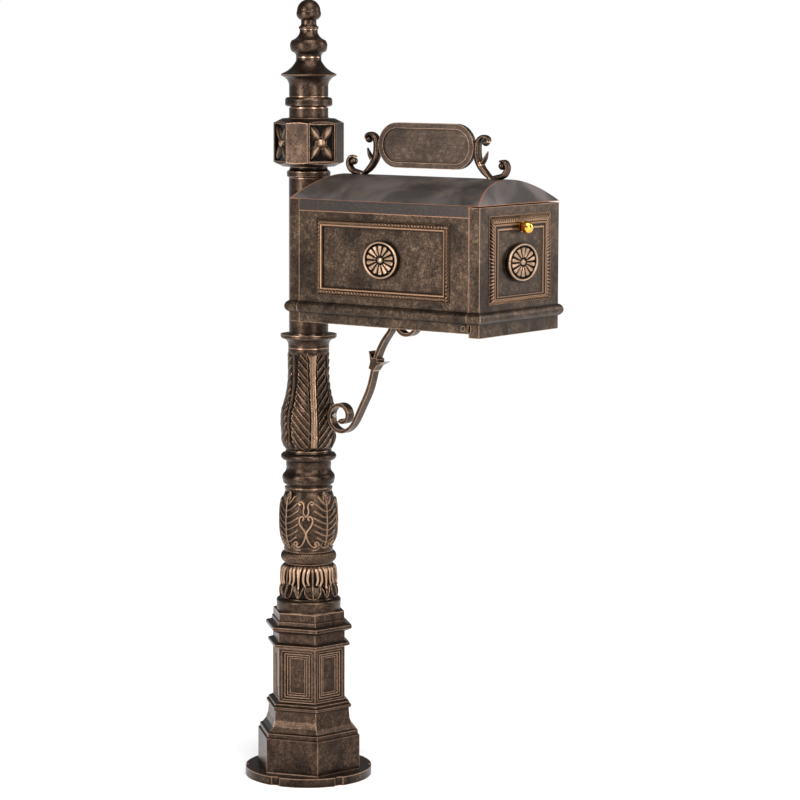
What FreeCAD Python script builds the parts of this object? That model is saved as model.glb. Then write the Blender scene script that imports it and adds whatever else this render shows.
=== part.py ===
import FreeCAD
import Part
import math
import os
import Sketcher

# Kerbside letter box on a turned and cast garden post.
# Row frame: +Z up, origin at the centre of the base flange's underside, the post's axis is Z.
# The letter box stands out in front of the post towards -Y, and its door faces -Y.

doc = FreeCAD.newDocument("post_letter_box")
sheet = doc.addObject("Spreadsheet::Sheet", "Sizes")


class Size:
    """A length in mm that carries its value and the sheet expression that gives it."""

    def __init__(self, text, value):
        self.text = text
        self.value = value

    def __add__(self, other):
        other = as_size(other)
        return Size("(%s + %s)" % (self.text, other.text), self.value + other.value)

    def __sub__(self, other):
        other = as_size(other)
        return Size("(%s - %s)" % (self.text, other.text), self.value - other.value)

    def __mul__(self, other):
        other = as_size(other)
        return Size("(%s * %s)" % (self.text, other.text), self.value * other.value)

    def __truediv__(self, other):
        other = as_size(other)
        return Size("(%s / %s)" % (self.text, other.text), self.value / other.value)

    def __neg__(self):
        return Size("(0 - %s)" % self.text, -self.value)

    def __radd__(self, other):
        return as_size(other) + self

    def __rsub__(self, other):
        return as_size(other) - self

    def __rmul__(self, other):
        return as_size(other) * self


def as_size(number):
    """A plain number as a Size."""
    if isinstance(number, Size):
        return number
    return Size("(%.9g)" % number, float(number))


class Sizes:
    """The sheet's aliases as attributes: s.box_width is the Size named box_width."""

    def __init__(self, table):
        row = 1
        for name, value in table:
            sheet.set("A%d" % row, name)
            sheet.set("B%d" % row, repr(value))
            sheet.setAlias("B%d" % row, name)
            setattr(self, name, Size("Sizes." + name, float(value)))
            row += 1


s = Sizes([
    # base flange on the ground
    ("flange_radius", 143.0),
    ("flange_thickness", 20.0),
    ("anchor_circle_radius", 122.0),
    ("anchor_hole_radius", 6.0),
    ("flange_twist", 7.0),
    ("notch_radius", 12.0),
    ("notch_depth", 6.0),
    # hexagonal pedestal, circumradii
    ("pedestal_twist", -12.0),
    ("pedestal_bore", 66.0),
    ("foot_radius", 123.0),
    ("foot_block_height", 78.0),
    ("foot_cove_height", 60.0),
    ("foot_moulding_radius", 103.0),
    ("foot_moulding_height", 20.0),
    ("shaft_radius", 87.0),
    ("shaft_height", 122.0),
    ("shaft_panel_width", 60.0),
    ("shaft_panel_margin", 13.0),
    ("shaft_panel_depth", 3.0),
    ("cornice_radius", 104.0),
    ("cornice_height", 80.0),
    # turned castings of the column: heights and outside radii
    ("column_bore", 38.0),
    ("plinth_radius", 73.0),
    ("plinth_height", 27.0),
    ("cup_height", 82.0),
    ("cup_neck_radius", 54.5),
    ("cup_belly_radius", 68.0),
    ("rope_height", 27.0),
    ("rope_radius", 62.5),
    ("drum_height", 144.0),
    ("drum_belly_radius", 65.0),
    ("drum_neck_radius", 54.0),
    ("bell_height", 85.0),
    ("bell_ring_radius", 62.5),
    ("bell_neck_radius", 50.0),
    ("baluster_height", 230.0),
    ("baluster_belly_radius", 62.5),
    ("baluster_top_radius", 46.0),
    ("cap_height", 31.0),
    ("cap_radius", 63.0),
    # tube behind the letter box
    ("tube_radius", 44.0),
    ("tube_wall", 6.0),
    ("tube_height", 350.0),
    # turned castings above the tube
    ("collar_height", 25.0),
    ("collar_radius", 48.5),
    ("block_height", 106.0),
    ("block_width", 140.0),
    ("block_corner_cut", 35.0),
    ("block_twist", -27.0),
    ("block_lip", 11.0),
    ("flower_width", 60.0),
    ("flower_height", 82.0),
    ("flower_depth", 7.0),
    ("neck_band_height", 24.0),
    ("neck_band_radius", 43.5),
    ("ring_band_height", 24.0),
    ("ring_band_radius", 52.5),
    ("finial_disc_height", 87.0),
    ("finial_disc_radius", 62.5),
    ("finial_bead_height", 62.0),
    ("finial_bead_radius", 42.0),
    ("finial_ball_height", 66.0),
    ("finial_ball_radius", 26.0),
    # tie rod that clamps the castings of the post together
    ("tie_rod_radius", 8.0),
    ("tie_rod_clearance", 0.05),
    ("tie_rod_end_room", 22.0),
    ("tie_nut_radius", 14.0),
    ("tie_nut_height", 8.0),
    ("tie_washer_radius", 17.0),
    ("tie_washer_height", 2.5),
    ("tie_recess_radius", 20.0),
    ("tie_foot_room", 1.0),
    # letter box
    ("box_width", 296.0),
    ("box_length", 506.0),
    ("box_behind", 65.0),
    ("box_above_cap", 44.0),
    ("wall", 4.0),
    ("skirt_height", 20.0),
    ("rail_height", 26.0),
    ("rail_bulge", 9.0),
    ("side_panel_height", 197.0),
    ("fascia_height", 25.0),
    ("rear_wrap", 26.0),
    ("crown_rise", 50.0),
    ("roof_overhang", 2.0),
    ("roof_end_lean", 33.0),
    ("fascia_proud", 1.0),
    # raised borders and rosettes
    ("border_band", 18.0),
    ("border_thickness", 3.0),
    ("side_border_margin", 48.0),
    ("side_border_low", 16.0),
    ("side_border_high", 15.0),
    ("rosette_half_length", 46.0),
    ("rosette_half_height", 41.0),
    ("rosette_thickness", 12.0),
    # door
    ("door_depth", 28.0),
    ("door_gap", 1.0),
    ("door_below", 8.0),
    ("door_top_gap", 3.0),
    ("door_stile", 33.0),
    ("door_border_low", 14.0),
    ("door_border_high", 22.0),
    ("door_border_band", 34.0),
    ("door_rosette_half_width", 56.0),
    ("pivot_behind_seam", 12.0),
    ("pivot_above_skirt", 11.0),
    ("pin_radius", 4.0),
    ("pin_clearance", 0.05),
    ("pin_head_radius", 6.0),
    ("pin_head_height", 2.0),
    ("pin_reach", 20.0),
    ("lug_thickness", 7.0),
    ("lug_side_gap", 2.5),
    ("lug_radius", 10.0),
    ("scoop_gap", 1.7),
    ("knob_radius", 13.5),
    ("knob_neck_radius", 5.0),
    ("knob_neck_length", 4.5),
    ("knob_base_radius", 11.0),
    ("knob_screw_radius", 2.0),
    # catch
    ("header_height", 22.0),
    ("header_depth", 8.0),
    ("header_inset", 2.0),
    ("magnet_width", 36.0),
    ("magnet_height", 14.0),
    ("magnet_drop", 2.0),
    ("strike_thickness", 2.0),
    ("catch_gap", 0.3),
    # name plate above the roof
    ("plate_length", 254.0),
    ("plate_height", 98.0),
    ("plate_thickness", 12.0),
    ("plate_rim", 12.0),
    ("plate_sink", 3.0),
    ("plate_above_crown", 17.0),
    ("plate_setback", 8.0),
    ("scroll_width", 20.0),
    # joint of letter box and post
    ("saddle_width", 62.0),
    ("saddle_height", 56.0),
    ("saddle_low", 60.0),
    ("saddle_spacing", 130.0),
    ("saddle_bolt_radius", 4.0),
    ("saddle_bolt_spread", 32.0),
    ("bolt_head_radius", 7.5),
    ("bolt_head_height", 5.0),
    # scroll bracket under the letter box
    ("strap_width", 22.0),
    ("strap_thickness", 8.0),
    ("bracket_screw_radius", 3.0),
    ("bracket_reach", 228.0),
    ("bracket_foot_height", 82.0),
    # signal flag
    ("flag_pivot_front", 24.0),
    ("flag_pivot_drop", 41.0),
    ("flag_arm_length", 215.0),
    ("flag_arm_width", 16.0),
    ("flag_thickness", 3.0),
    ("flag_blade_length", 82.0),
    ("flag_blade_height", 50.0),
    ("flag_standoff", 6.0),
    ("flag_screw_radius", 4.0),
])

parts = []


def keep(thing, name):
    """Mark an object as a sub-part: its label is its file name."""
    thing.Label = name
    parts.append(thing)
    return thing


def bind(thing, prop, number):
    """Tie a property of an object to the sheet."""
    thing.setExpression(prop, as_size(number).text)


def place(thing, x=0, y=0, z=0, axis=None, angle=0):
    """Put an object at (x, y, z), turned by angle degrees about axis."""
    if axis is not None:
        turn = FreeCAD.Rotation(FreeCAD.Vector(*axis), as_size(angle).value)
        thing.Placement = FreeCAD.Placement(FreeCAD.Vector(0, 0, 0), turn)
        if isinstance(angle, Size):
            bind(thing, "Placement.Rotation.Angle", signed_angle(angle, thing))
    bind(thing, "Placement.Base.x", x)
    bind(thing, "Placement.Base.y", y)
    bind(thing, "Placement.Base.z", z)
    return thing


def signed_angle(angle, thing):
    """The angle with the sign that the object's stored rotation axis asks for."""
    if thing.Placement.Rotation.Axis.z + thing.Placement.Rotation.Axis.x < 0:
        return -angle
    return angle


# ---------------------------------------------------------------- primitives

def block(name, x0, y0, z0, length, width, height):
    """A box with its lowest corner at (x0, y0, z0)."""
    box = doc.addObject("Part::Box", name)
    bind(box, "Length", length)
    bind(box, "Width", width)
    bind(box, "Height", height)
    return place(box, x0, y0, z0)


def rod(name, radius, length, x, y, z, axis=(0, 0, 1), angle=0):
    """A cylinder that starts at (x, y, z) and runs along its turned Z axis."""
    bar = doc.addObject("Part::Cylinder", name)
    bind(bar, "Radius", radius)
    bind(bar, "Height", length)
    return place(bar, x, y, z, axis, angle)


def rod_x(name, radius, length, x, y, z):
    """A cylinder along +X."""
    return rod(name, radius, length, x, y, z, (0, 1, 0), 90)


def rod_y(name, radius, length, x, y, z):
    """A cylinder along -Y."""
    return rod(name, radius, length, x, y, z, (1, 0, 0), 90)


def fuse(name, *things):
    """One solid from several."""
    whole = doc.addObject("Part::MultiFuse", name)
    whole.Shapes = list(things)
    whole.Refine = True
    return whole


def group(name, *things):
    """Separate solids that share one node."""
    many = doc.addObject("Part::Compound", name)
    many.Links = list(things)
    return many


def cut(name, base, *tools):
    """The base without its tools."""
    left = base
    for count, tool in enumerate(tools):
        step = doc.addObject("Part::Cut", "%s_cut%d" % (name, count))
        step.Base = left
        step.Tool = tool
        left = step
    return left


def common(name, first, second):
    """What two solids share."""
    shared = doc.addObject("Part::MultiCommon", name)
    shared.Shapes = [first, second]
    return shared


# ---------------------------------------------------------------- sketches

def plane_sketch(body, role, name):
    """A sketch on one of a body's own origin planes."""
    sketch = body.newObject("Sketcher::SketchObject", name)
    for feature in body.Origin.OriginFeatures:
        if feature.Role == role:
            sketch.AttachmentSupport = [(feature, "")]
    sketch.MapMode = "FlatFace"
    return sketch


def dimension(sketch, kind, geometry, point, number):
    """A driving dimension tied to the sheet."""
    number = as_size(number)
    if point is None:
        index = sketch.addConstraint(Sketcher.Constraint(kind, geometry, number.value))
    else:
        index = sketch.addConstraint(Sketcher.Constraint(kind, geometry, point, number.value))
    sketch.setExpression("Constraints[%d]" % index, number.text)


def outline(sketch, points):
    """A closed outline, anticlockwise. A third number bulges the side that ends there."""
    count = len(points)
    ends = []
    for index in range(count):
        start = points[index]
        finish = points[(index + 1) % count]
        first = FreeCAD.Vector(as_size(start[0]).value, as_size(start[1]).value, 0)
        last = FreeCAD.Vector(as_size(finish[0]).value, as_size(finish[1]).value, 0)
        if len(finish) == 2:
            sketch.addGeometry(Part.LineSegment(first, last), False)
            ends.append((1, 2))
            continue
        bulge = as_size(finish[2])
        rise = abs(bulge.value)
        half = (last - first).Length / 2
        radius = (half * half + rise * rise) / (2 * rise)
        along = (last - first).normalize()
        left = FreeCAD.Vector(-along.y, along.x, 0)
        side = 1 if bulge.value > 0 else -1
        centre = (first + last) / 2 + left * (side * (radius - rise))
        circle = Part.Circle(centre, FreeCAD.Vector(0, 0, 1), radius)
        from_point, to_point = (first, last) if side > 0 else (last, first)
        begin = math.atan2(from_point.y - centre.y, from_point.x - centre.x)
        end = math.atan2(to_point.y - centre.y, to_point.x - centre.x)
        if end < begin:
            end += 2 * math.pi
        sketch.addGeometry(Part.ArcOfCircle(circle, begin, end), False)
        ends.append((1, 2) if side > 0 else (2, 1))
    for index in range(count):
        after = (index + 1) % count
        joint = Sketcher.Constraint("Coincident", index, ends[index][1], after, ends[after][0])
        sketch.addConstraint(joint)
    for index in range(count):
        dimension(sketch, "DistanceX", index, ends[index][0], points[index][0])
        dimension(sketch, "DistanceY", index, ends[index][0], points[index][1])
        finish = points[(index + 1) % count]
        if len(finish) == 3:
            start = points[index]
            across = as_size(finish[0]) - start[0]
            upward = as_size(finish[1]) - start[1]
            rise = as_size(finish[2])
            if rise.value < 0:
                rise = -rise
            chord = across * across + upward * upward
            dimension(sketch, "Radius", index, None, (chord / 4 + rise * rise) / (rise * 2))


def padded(name, role, points, length):
    """A body: an outline on an origin plane, padded by length."""
    body = doc.addObject("PartDesign::Body", name)
    sketch = plane_sketch(body, role, name + "_sketch")
    outline(sketch, points)
    pad = body.newObject("PartDesign::Pad", name + "_pad")
    pad.Profile = sketch
    bind(pad, "Length", length)
    sketch.Visibility = False
    return body


def turned(name, base, stations, bore):
    """A turned casting: its outside runs up through the stations, above its base height."""
    body = doc.addObject("PartDesign::Body", name + "_body")
    sketch = plane_sketch(body, "XZ_Plane", name + "_sketch")
    points = [(bore, stations[0][1])] + stations + [(bore, stations[-1][1])]
    outline(sketch, points)
    turning = body.newObject("PartDesign::Revolution", name + "_turning")
    turning.Profile = sketch
    turning.ReferenceAxis = (sketch, ["V_Axis"])
    turning.Angle = 360
    sketch.Visibility = False
    return place(body, 0, 0, base)


def hexagonal(name, base, stations, bore, twist):
    """A six-sided casting with a round bore: circumradius and height of each station."""
    rings = []
    for count, (radius, height) in enumerate(stations):
        ring = doc.addObject("Part::RegularPolygon", "%s_ring%d" % (name, count))
        ring.Polygon = 6
        bind(ring, "Circumradius", radius)
        rings.append(place(ring, 0, 0, base + height, (0, 0, 1), twist))
    loft = doc.addObject("Part::Loft", name + "_loft")
    loft.Sections = rings
    loft.Solid = True
    loft.Ruled = True
    hole = rod(name + "_bore", bore, stations[-1][1] - stations[0][1] + 4, 0, 0, base + stations[0][1] - 2)
    return cut(name, loft, hole)


# ---------------------------------------------------------------- heights up the post

foot_base = s.flange_thickness
foot_height = s.foot_block_height + s.foot_cove_height + s.foot_moulding_height
shaft_base = foot_base + foot_height
cornice_base = shaft_base + s.shaft_height
plinth_base = cornice_base + s.cornice_height
cup_base = plinth_base + s.plinth_height
rope_base = cup_base + s.cup_height
drum_base = rope_base + s.rope_height
bell_base = drum_base + s.drum_height
baluster_base = bell_base + s.bell_height
cap_base = baluster_base + s.baluster_height
tube_base = cap_base + s.cap_height
collar_base = tube_base + s.tube_height
block_base = collar_base + s.collar_height
neck_band_base = block_base + s.block_height
ring_band_base = neck_band_base + s.neck_band_height
disc_base = ring_band_base + s.ring_band_height
bead_base = disc_base + s.finial_disc_height
ball_base = bead_base + s.finial_bead_height
post_top = ball_base + s.finial_ball_height
rod_hole = s.tie_rod_radius + s.tie_rod_clearance
tube_bore = s.tube_radius - s.tube_wall

# ---------------------------------------------------------------- places around the letter box

half_width = s.box_width / 2
rear_face = -s.box_behind
front_face = rear_face - s.box_length
seam = front_face + s.door_depth
skirt_bottom = tube_base + s.box_above_cap
rail_bottom = skirt_bottom + s.skirt_height
rail_top = rail_bottom + s.rail_height
side_top = rail_top + s.side_panel_height
eave = side_top + s.fascia_height
crown = eave + s.crown_rise
side_start = rear_face - s.rear_wrap
side_length = side_start - seam
inner_half = half_width - s.wall
pivot_y = seam + s.pivot_behind_seam
pivot_z = skirt_bottom + s.pivot_above_skirt
floor_bottom = rail_top - s.wall
plate_middle = (rear_face + front_face) / 2 - s.plate_setback
plate_bottom = crown + s.plate_above_crown


def base_flange():
    """Scalloped foot plate with three anchor holes and a recess for the tie rod's nut."""
    body = doc.addObject("PartDesign::Body", "base_flange_body")
    disc = plane_sketch(body, "XY_Plane", "flange_disc")
    rim = Part.Circle(FreeCAD.Vector(0, 0, 0), FreeCAD.Vector(0, 0, 1), s.flange_radius.value)
    disc.addGeometry(rim, False)
    disc.addConstraint(Sketcher.Constraint("Coincident", 0, 3, -1, 1))
    dimension(disc, "Radius", 0, None, s.flange_radius)
    pad = body.newObject("PartDesign::Pad", "flange_pad")
    pad.Profile = disc
    bind(pad, "Length", s.flange_thickness)
    notch_centre = s.flange_radius - s.notch_depth + s.notch_radius
    round_pocket(body, "flange_notch", notch_centre, 30, s.notch_radius, s.flange_thickness, 6)
    round_pocket(body, "anchor_hole", s.anchor_circle_radius, 0, s.anchor_hole_radius, s.flange_thickness, 3)
    recess_depth = s.tie_foot_room + s.tie_nut_height + s.tie_washer_height
    round_pocket(body, "nut_recess", 0, 0, s.tie_recess_radius, recess_depth, 1)
    round_pocket(body, "tie_rod_hole", 0, 0, rod_hole, s.flange_thickness, 1)
    place(body, 0, 0, 0, (0, 0, 1), s.flange_twist + 270)
    keep(body, "base_flange")


def round_pocket(body, name, reach, turn, radius, depth, repeats):
    """A round pocket up from the underside, repeated around the axis."""
    sketch = plane_sketch(body, "XY_Plane", name + "_sketch")
    reach = as_size(reach)
    angle = math.radians(turn)
    centre = FreeCAD.Vector(reach.value * math.cos(angle), reach.value * math.sin(angle), 0)
    sketch.addGeometry(Part.Circle(centre, FreeCAD.Vector(0, 0, 1), as_size(radius).value), False)
    dimension(sketch, "DistanceX", 0, 3, reach * math.cos(angle))
    dimension(sketch, "DistanceY", 0, 3, reach * math.sin(angle))
    dimension(sketch, "Radius", 0, None, radius)
    pocket = body.newObject("PartDesign::Pocket", name + "_pocket")
    pocket.Profile = sketch
    pocket.Reversed = True
    bind(pocket, "Length", depth)
    doc.recompute()
    if repeats > 1:
        pattern = body.newObject("PartDesign::PolarPattern", name + "_pattern")
        pattern.Originals = [pocket]
        pattern.Axis = (sketch, ["N_Axis"])
        pattern.Angle = 360
        pattern.Occurrences = repeats
        body.Tip = pattern
        doc.recompute()


def pedestal():
    """Three stacked six-sided castings: foot, panelled shaft and cornice."""
    block_top = s.foot_block_height
    cove_top = block_top + s.foot_cove_height
    foot = hexagonal("pedestal_foot", foot_base, [
        (s.foot_radius, as_size(0)),
        (s.foot_radius, block_top),
        (s.foot_radius - 4, block_top + 3),
        (s.foot_radius - 4, block_top + 11),
        (s.foot_radius - 11, block_top + 14),
        (s.foot_radius - 19, block_top + 24),
        (s.foot_radius - 24, block_top + 38),
        (s.foot_moulding_radius - 6, cove_top),
        (s.foot_moulding_radius, cove_top + 4),
        (s.foot_moulding_radius, cove_top + 9),
        (s.foot_moulding_radius - 5, cove_top + 12),
        (s.foot_moulding_radius - 5, cove_top + 16),
        (s.shaft_radius + 2, cove_top + s.foot_moulding_height),
    ], s.pedestal_bore, s.pedestal_twist)
    keep(foot, "pedestal_foot")
    shaft = hexagonal("pedestal_shaft", shaft_base, [
        (s.shaft_radius, as_size(0)),
        (s.shaft_radius, s.shaft_height),
    ], s.pedestal_bore, s.pedestal_twist)
    sunk_panels = []
    apothem = s.shaft_radius * math.cos(math.radians(30))
    for side in range(6):
        panel = doc.addObject("Part::Box", "shaft_panel%d" % side)
        bind(panel, "Length", s.shaft_panel_depth + 5)
        bind(panel, "Width", s.shaft_panel_width)
        bind(panel, "Height", s.shaft_height - s.shaft_panel_margin * 2)
        angle = s.pedestal_twist.value + 30 + 60 * side
        along = FreeCAD.Vector(math.cos(math.radians(angle)), math.sin(math.radians(angle)), 0)
        across = FreeCAD.Vector(-along.y, along.x, 0)
        inner = apothem - s.shaft_panel_depth
        x = inner * along.x - s.shaft_panel_width / 2 * across.x
        y = inner * along.y - s.shaft_panel_width / 2 * across.y
        sunk_panels.append(place(panel, x, y, shaft_base + s.shaft_panel_margin, (0, 0, 1), angle))
    keep(cut("pedestal_shaft_panels", shaft, fuse("shaft_panels", *sunk_panels)), "pedestal_shaft")
    cornice = hexagonal("pedestal_cornice", cornice_base, [
        (s.shaft_radius + 3, as_size(0)),
        (s.cornice_radius - 5, as_size(3)),
        (s.cornice_radius - 5, as_size(9)),
        (s.shaft_radius, as_size(13)),
        (s.shaft_radius, as_size(34)),
        (s.cornice_radius - 3, as_size(40)),
        (s.cornice_radius, as_size(42)),
        (s.cornice_radius, as_size(49)),
        (s.shaft_radius + 3, as_size(53)),
        (s.shaft_radius + 2, as_size(61)),
        (s.shaft_radius - 1, as_size(63)),
        (s.shaft_radius - 1, s.cornice_height),
    ], s.pedestal_bore, s.pedestal_twist)
    keep(cornice, "pedestal_cornice")


def column():
    """Turned castings from the round plinth up to the cap under the letter box."""
    plinth = turned("plinth_disc", plinth_base, [
        (s.plinth_radius - 1, as_size(0)),
        (s.plinth_radius, s.plinth_height - 6),
        (s.plinth_radius - 6, s.plinth_height, 2),
    ], s.column_bore)
    keep(plinth, "plinth_disc")
    cup = turned("leaf_cup", cup_base, [
        (s.cup_belly_radius - 6, as_size(0)),
        (s.cup_belly_radius - 1, as_size(10), 1),
        (s.cup_belly_radius - 7, as_size(34), 2),
        (s.cup_belly_radius - 7, as_size(61), 1),
        (s.cup_neck_radius, s.cup_height - 6, 2),
        (s.cup_neck_radius, s.cup_height),
    ], s.column_bore)
    keep(cup, "leaf_cup")
    rope = turned("rope_ring", rope_base, [
        (s.rope_radius - 8, as_size(0)),
        (s.rope_radius - 8, s.rope_height, 8),
    ], s.column_bore)
    keep(rope, "rope_ring")
    drum = turned("scroll_drum", drum_base, [
        (s.drum_neck_radius + 1, as_size(0)),
        (s.drum_neck_radius + 1, as_size(14)),
        (s.drum_belly_radius - 1, as_size(58), 3),
        (s.drum_belly_radius - 1, as_size(82), 1),
        (s.drum_neck_radius, s.drum_height - 8, 3),
        (s.drum_neck_radius, s.drum_height),
    ], s.column_bore)
    keep(drum, "scroll_drum")
    bell = turned("bell_collar", bell_base, [
        (s.bell_neck_radius, as_size(0)),
        (s.bell_neck_radius, as_size(7)),
        (s.bell_neck_radius + 8, as_size(15), 3),
        (s.bell_neck_radius + 7, as_size(30), 2),
        (s.bell_neck_radius + 1, as_size(50), -3),
        (s.bell_neck_radius + 1, as_size(60)),
        (s.bell_ring_radius - 4, as_size(63)),
        (s.bell_ring_radius - 4, as_size(77), 4),
        (s.bell_neck_radius + 3, as_size(79)),
        (s.bell_neck_radius + 1, s.bell_height),
    ], s.column_bore)
    keep(bell, "bell_collar")
    baluster = turned("leaf_baluster", baluster_base, [
        (s.bell_neck_radius + 1, as_size(0)),
        (s.baluster_belly_radius - 2, as_size(36), 4),
        (s.baluster_belly_radius - 2, as_size(92), 2),
        (s.baluster_top_radius, as_size(190), -5),
        (s.baluster_top_radius, s.baluster_height),
    ], s.column_bore)
    screw_hole = rod_y("baluster_screw_hole", s.bracket_screw_radius, s.baluster_belly_radius,
                       0, -s.column_bore, bracket_foot_z())
    keep(cut("baluster_drilled", baluster, screw_hole), "leaf_baluster")
    cap = turned("column_cap", cap_base, [
        (s.baluster_top_radius, as_size(0)),
        (s.baluster_top_radius, as_size(4)),
        (s.cap_radius - 2, as_size(22), -5),
        (s.cap_radius, s.cap_height - 6),
        (s.cap_radius, s.cap_height),
    ], tube_bore)
    keep(cap, "column_cap")


def post_tube():
    """Plain tube that carries the letter box."""
    outside = rod("tube_outside", s.tube_radius, s.tube_height, 0, 0, tube_base)
    inside = rod("tube_inside", tube_bore, s.tube_height + 4, 0, 0, tube_base - 2)
    holes = []
    for count, (x, z) in enumerate(saddle_bolt_places()):
        holes.append(rod_y("tube_bolt_hole%d" % count, s.saddle_bolt_radius, s.tube_radius, x, 0, z))
    keep(cut("post_tube", outside, inside, fuse("tube_bolt_holes", *holes)), "post_tube")


def flower_block():
    """Square block with cut corners above the tube, and a flower on each of its main faces."""
    half = s.block_width / 2
    side = half - s.block_corner_cut
    lip = s.block_lip
    prism = padded("block_prism", "XY_Plane", [
        (-side, -half),
        (side, -half),
        (half, -side),
        (half, side),
        (side, half),
        (-side, half),
        (-half, side),
        (-half, -side),
    ], s.block_height)
    place(prism, 0, 0, block_base, (0, 0, 1), s.block_twist)
    cone = turned("block_cone", block_base, [
        (half - s.block_lip, as_size(0)),
        (half + s.block_lip, lip),
        (half + s.block_lip, s.block_height - lip),
        (half - s.block_lip, s.block_height),
    ], s.column_bore)
    shaped = common("block_shaped", prism, cone)
    squares = []
    flowers = []
    for turn in range(4):
        angle = s.block_twist.value + 90 * turn
        along = FreeCAD.Vector(math.cos(math.radians(angle)), math.sin(math.radians(angle)), 0)
        across = FreeCAD.Vector(-along.y, along.x, 0)
        middle = block_base + s.block_height / 2
        inner = half - s.flower_depth
        x = inner * along.x - s.flower_width / 2 * across.x
        y = inner * along.y - s.flower_width / 2 * across.y
        square = doc.addObject("Part::Box", "block_square%d" % turn)
        bind(square, "Length", s.flower_depth + 5)
        bind(square, "Width", s.flower_width)
        bind(square, "Height", s.flower_height)
        squares.append(place(square, x, y, middle - s.flower_height / 2, (0, 0, 1), angle))
        flower = doc.addObject("Part::Cone", "block_flower%d" % turn)
        bind(flower, "Radius1", s.flower_width / 2 - 1)
        bind(flower, "Radius2", s.flower_width / 5)
        bind(flower, "Height", s.flower_depth)
        upright = FreeCAD.Rotation(FreeCAD.Vector(0, 0, 1), along)
        flower.Placement = FreeCAD.Placement(FreeCAD.Vector(0, 0, 0), upright)
        flowers.append(place(flower, inner * along.x, inner * along.y, middle))
    keep(cut("flower_block", shaped, fuse("block_squares", *squares)), "flower_block")
    keep(group("block_flowers", *flowers), "block_flowers")


def upper_castings():
    """Collar, bands and finial, threaded on the tie rod."""
    collar = turned("post_collar", collar_base, [
        (s.tube_radius + 0.5, as_size(0)),
        (s.collar_radius, as_size(3)),
        (s.collar_radius, as_size(14)),
        (s.collar_radius - 6, s.collar_height, -3),
    ], tube_bore)
    keep(collar, "post_collar")
    neck_band = turned("neck_band", neck_band_base, [
        (s.neck_band_radius + 3, as_size(0)),
        (s.neck_band_radius, as_size(3)),
        (s.neck_band_radius, s.neck_band_height),
    ], s.column_bore)
    keep(neck_band, "neck_band")
    ring_band = turned("ring_band", ring_band_base, [
        (s.neck_band_radius - 3, as_size(0)),
        (s.neck_band_radius - 3, as_size(2)),
        (s.ring_band_radius - 3, as_size(3)),
        (s.ring_band_radius, as_size(6)),
        (s.ring_band_radius, s.ring_band_height - 6),
        (s.ring_band_radius - 3, s.ring_band_height - 2),
        (s.neck_band_radius - 3, s.ring_band_height),
    ], s.column_bore)
    keep(ring_band, "ring_band")
    disc = turned("finial_disc", disc_base, [
        (s.neck_band_radius, as_size(0)),
        (s.neck_band_radius, as_size(22)),
        (s.finial_disc_radius - 2, as_size(46), -5),
        (s.finial_disc_radius, as_size(49)),
        (s.finial_disc_radius - 4, as_size(52)),
        (s.finial_ball_radius + 2, as_size(80), -4),
        (s.finial_ball_radius + 2, s.finial_disc_height),
    ], rod_hole)
    keep(disc, "finial_disc")
    bead = turned("finial_bead", bead_base, [
        (s.finial_ball_radius + 2, as_size(0)),
        (s.finial_bead_radius - 5, as_size(12), -3),
        (s.finial_bead_radius - 1, as_size(22), 1),
        (s.finial_bead_radius - 5, as_size(38), 2),
        (s.finial_ball_radius - 6, as_size(55), -3),
        (s.finial_ball_radius - 6, s.finial_bead_height),
    ], rod_hole)
    keep(bead, "finial_bead")


def finial_ball():
    """Ball on a short neck, with a blind hole for the end of the tie rod."""
    body = doc.addObject("PartDesign::Body", "finial_ball_body")
    sketch = plane_sketch(body, "XZ_Plane", "finial_ball_sketch")
    top = s.finial_ball_height
    equator = top - s.finial_ball_radius
    neck = s.finial_ball_radius - 9
    quarter = s.finial_ball_radius * (1 - math.sqrt(0.5))
    hole_end = top - s.tie_rod_end_room
    outline(sketch, [
        (rod_hole, as_size(0)),
        (neck + 4, as_size(0)),
        (neck + 4, as_size(6), 1),
        (neck, as_size(12), -1),
        (neck, equator - 20),
        (s.finial_ball_radius, equator, 5),
        (as_size(0), top, quarter),
        (as_size(0), hole_end),
        (rod_hole, hole_end),
    ])
    turning = body.newObject("PartDesign::Revolution", "finial_ball_turning")
    turning.Profile = sketch
    turning.ReferenceAxis = (sketch, ["V_Axis"])
    turning.Angle = 360
    place(body, 0, 0, ball_base)
    keep(body, "finial_ball")


def tie_rod():
    """Threaded rod through the whole post, with its nut and washer under the flange."""
    start = s.tie_foot_room
    length = post_top - s.tie_rod_end_room - start - 1
    keep(rod("tie_rod_bar", s.tie_rod_radius, length, 0, 0, start), "tie_rod")
    nut = doc.addObject("Part::Prism", "tie_nut_prism")
    nut.Polygon = 6
    bind(nut, "Circumradius", s.tie_nut_radius)
    bind(nut, "Height", s.tie_nut_height)
    place(nut, 0, 0, start)
    washer = rod("tie_washer_disc", s.tie_washer_radius, s.tie_washer_height, 0, 0, start + s.tie_nut_height)
    hole = rod("tie_nut_hole", rod_hole, s.tie_nut_height + s.tie_washer_height + 4, 0, 0, start - 2)
    pair = group("tie_nut_pair", cut("tie_nut", nut, hole), cut("tie_washer", washer, hole))
    keep(pair, "tie_rod_nut")


# ---------------------------------------------------------------- letter box shell

def rail(name, length):
    """Half-round rail with its flat back on the plane of the wall, lying along -Y."""
    half = s.rail_height / 2
    return padded(name, "XZ_Plane", [
        (as_size(-2), -half),
        (as_size(0), -half),
        (as_size(0), half, s.rail_bulge),
        (as_size(-2), half),
    ], length)


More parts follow.
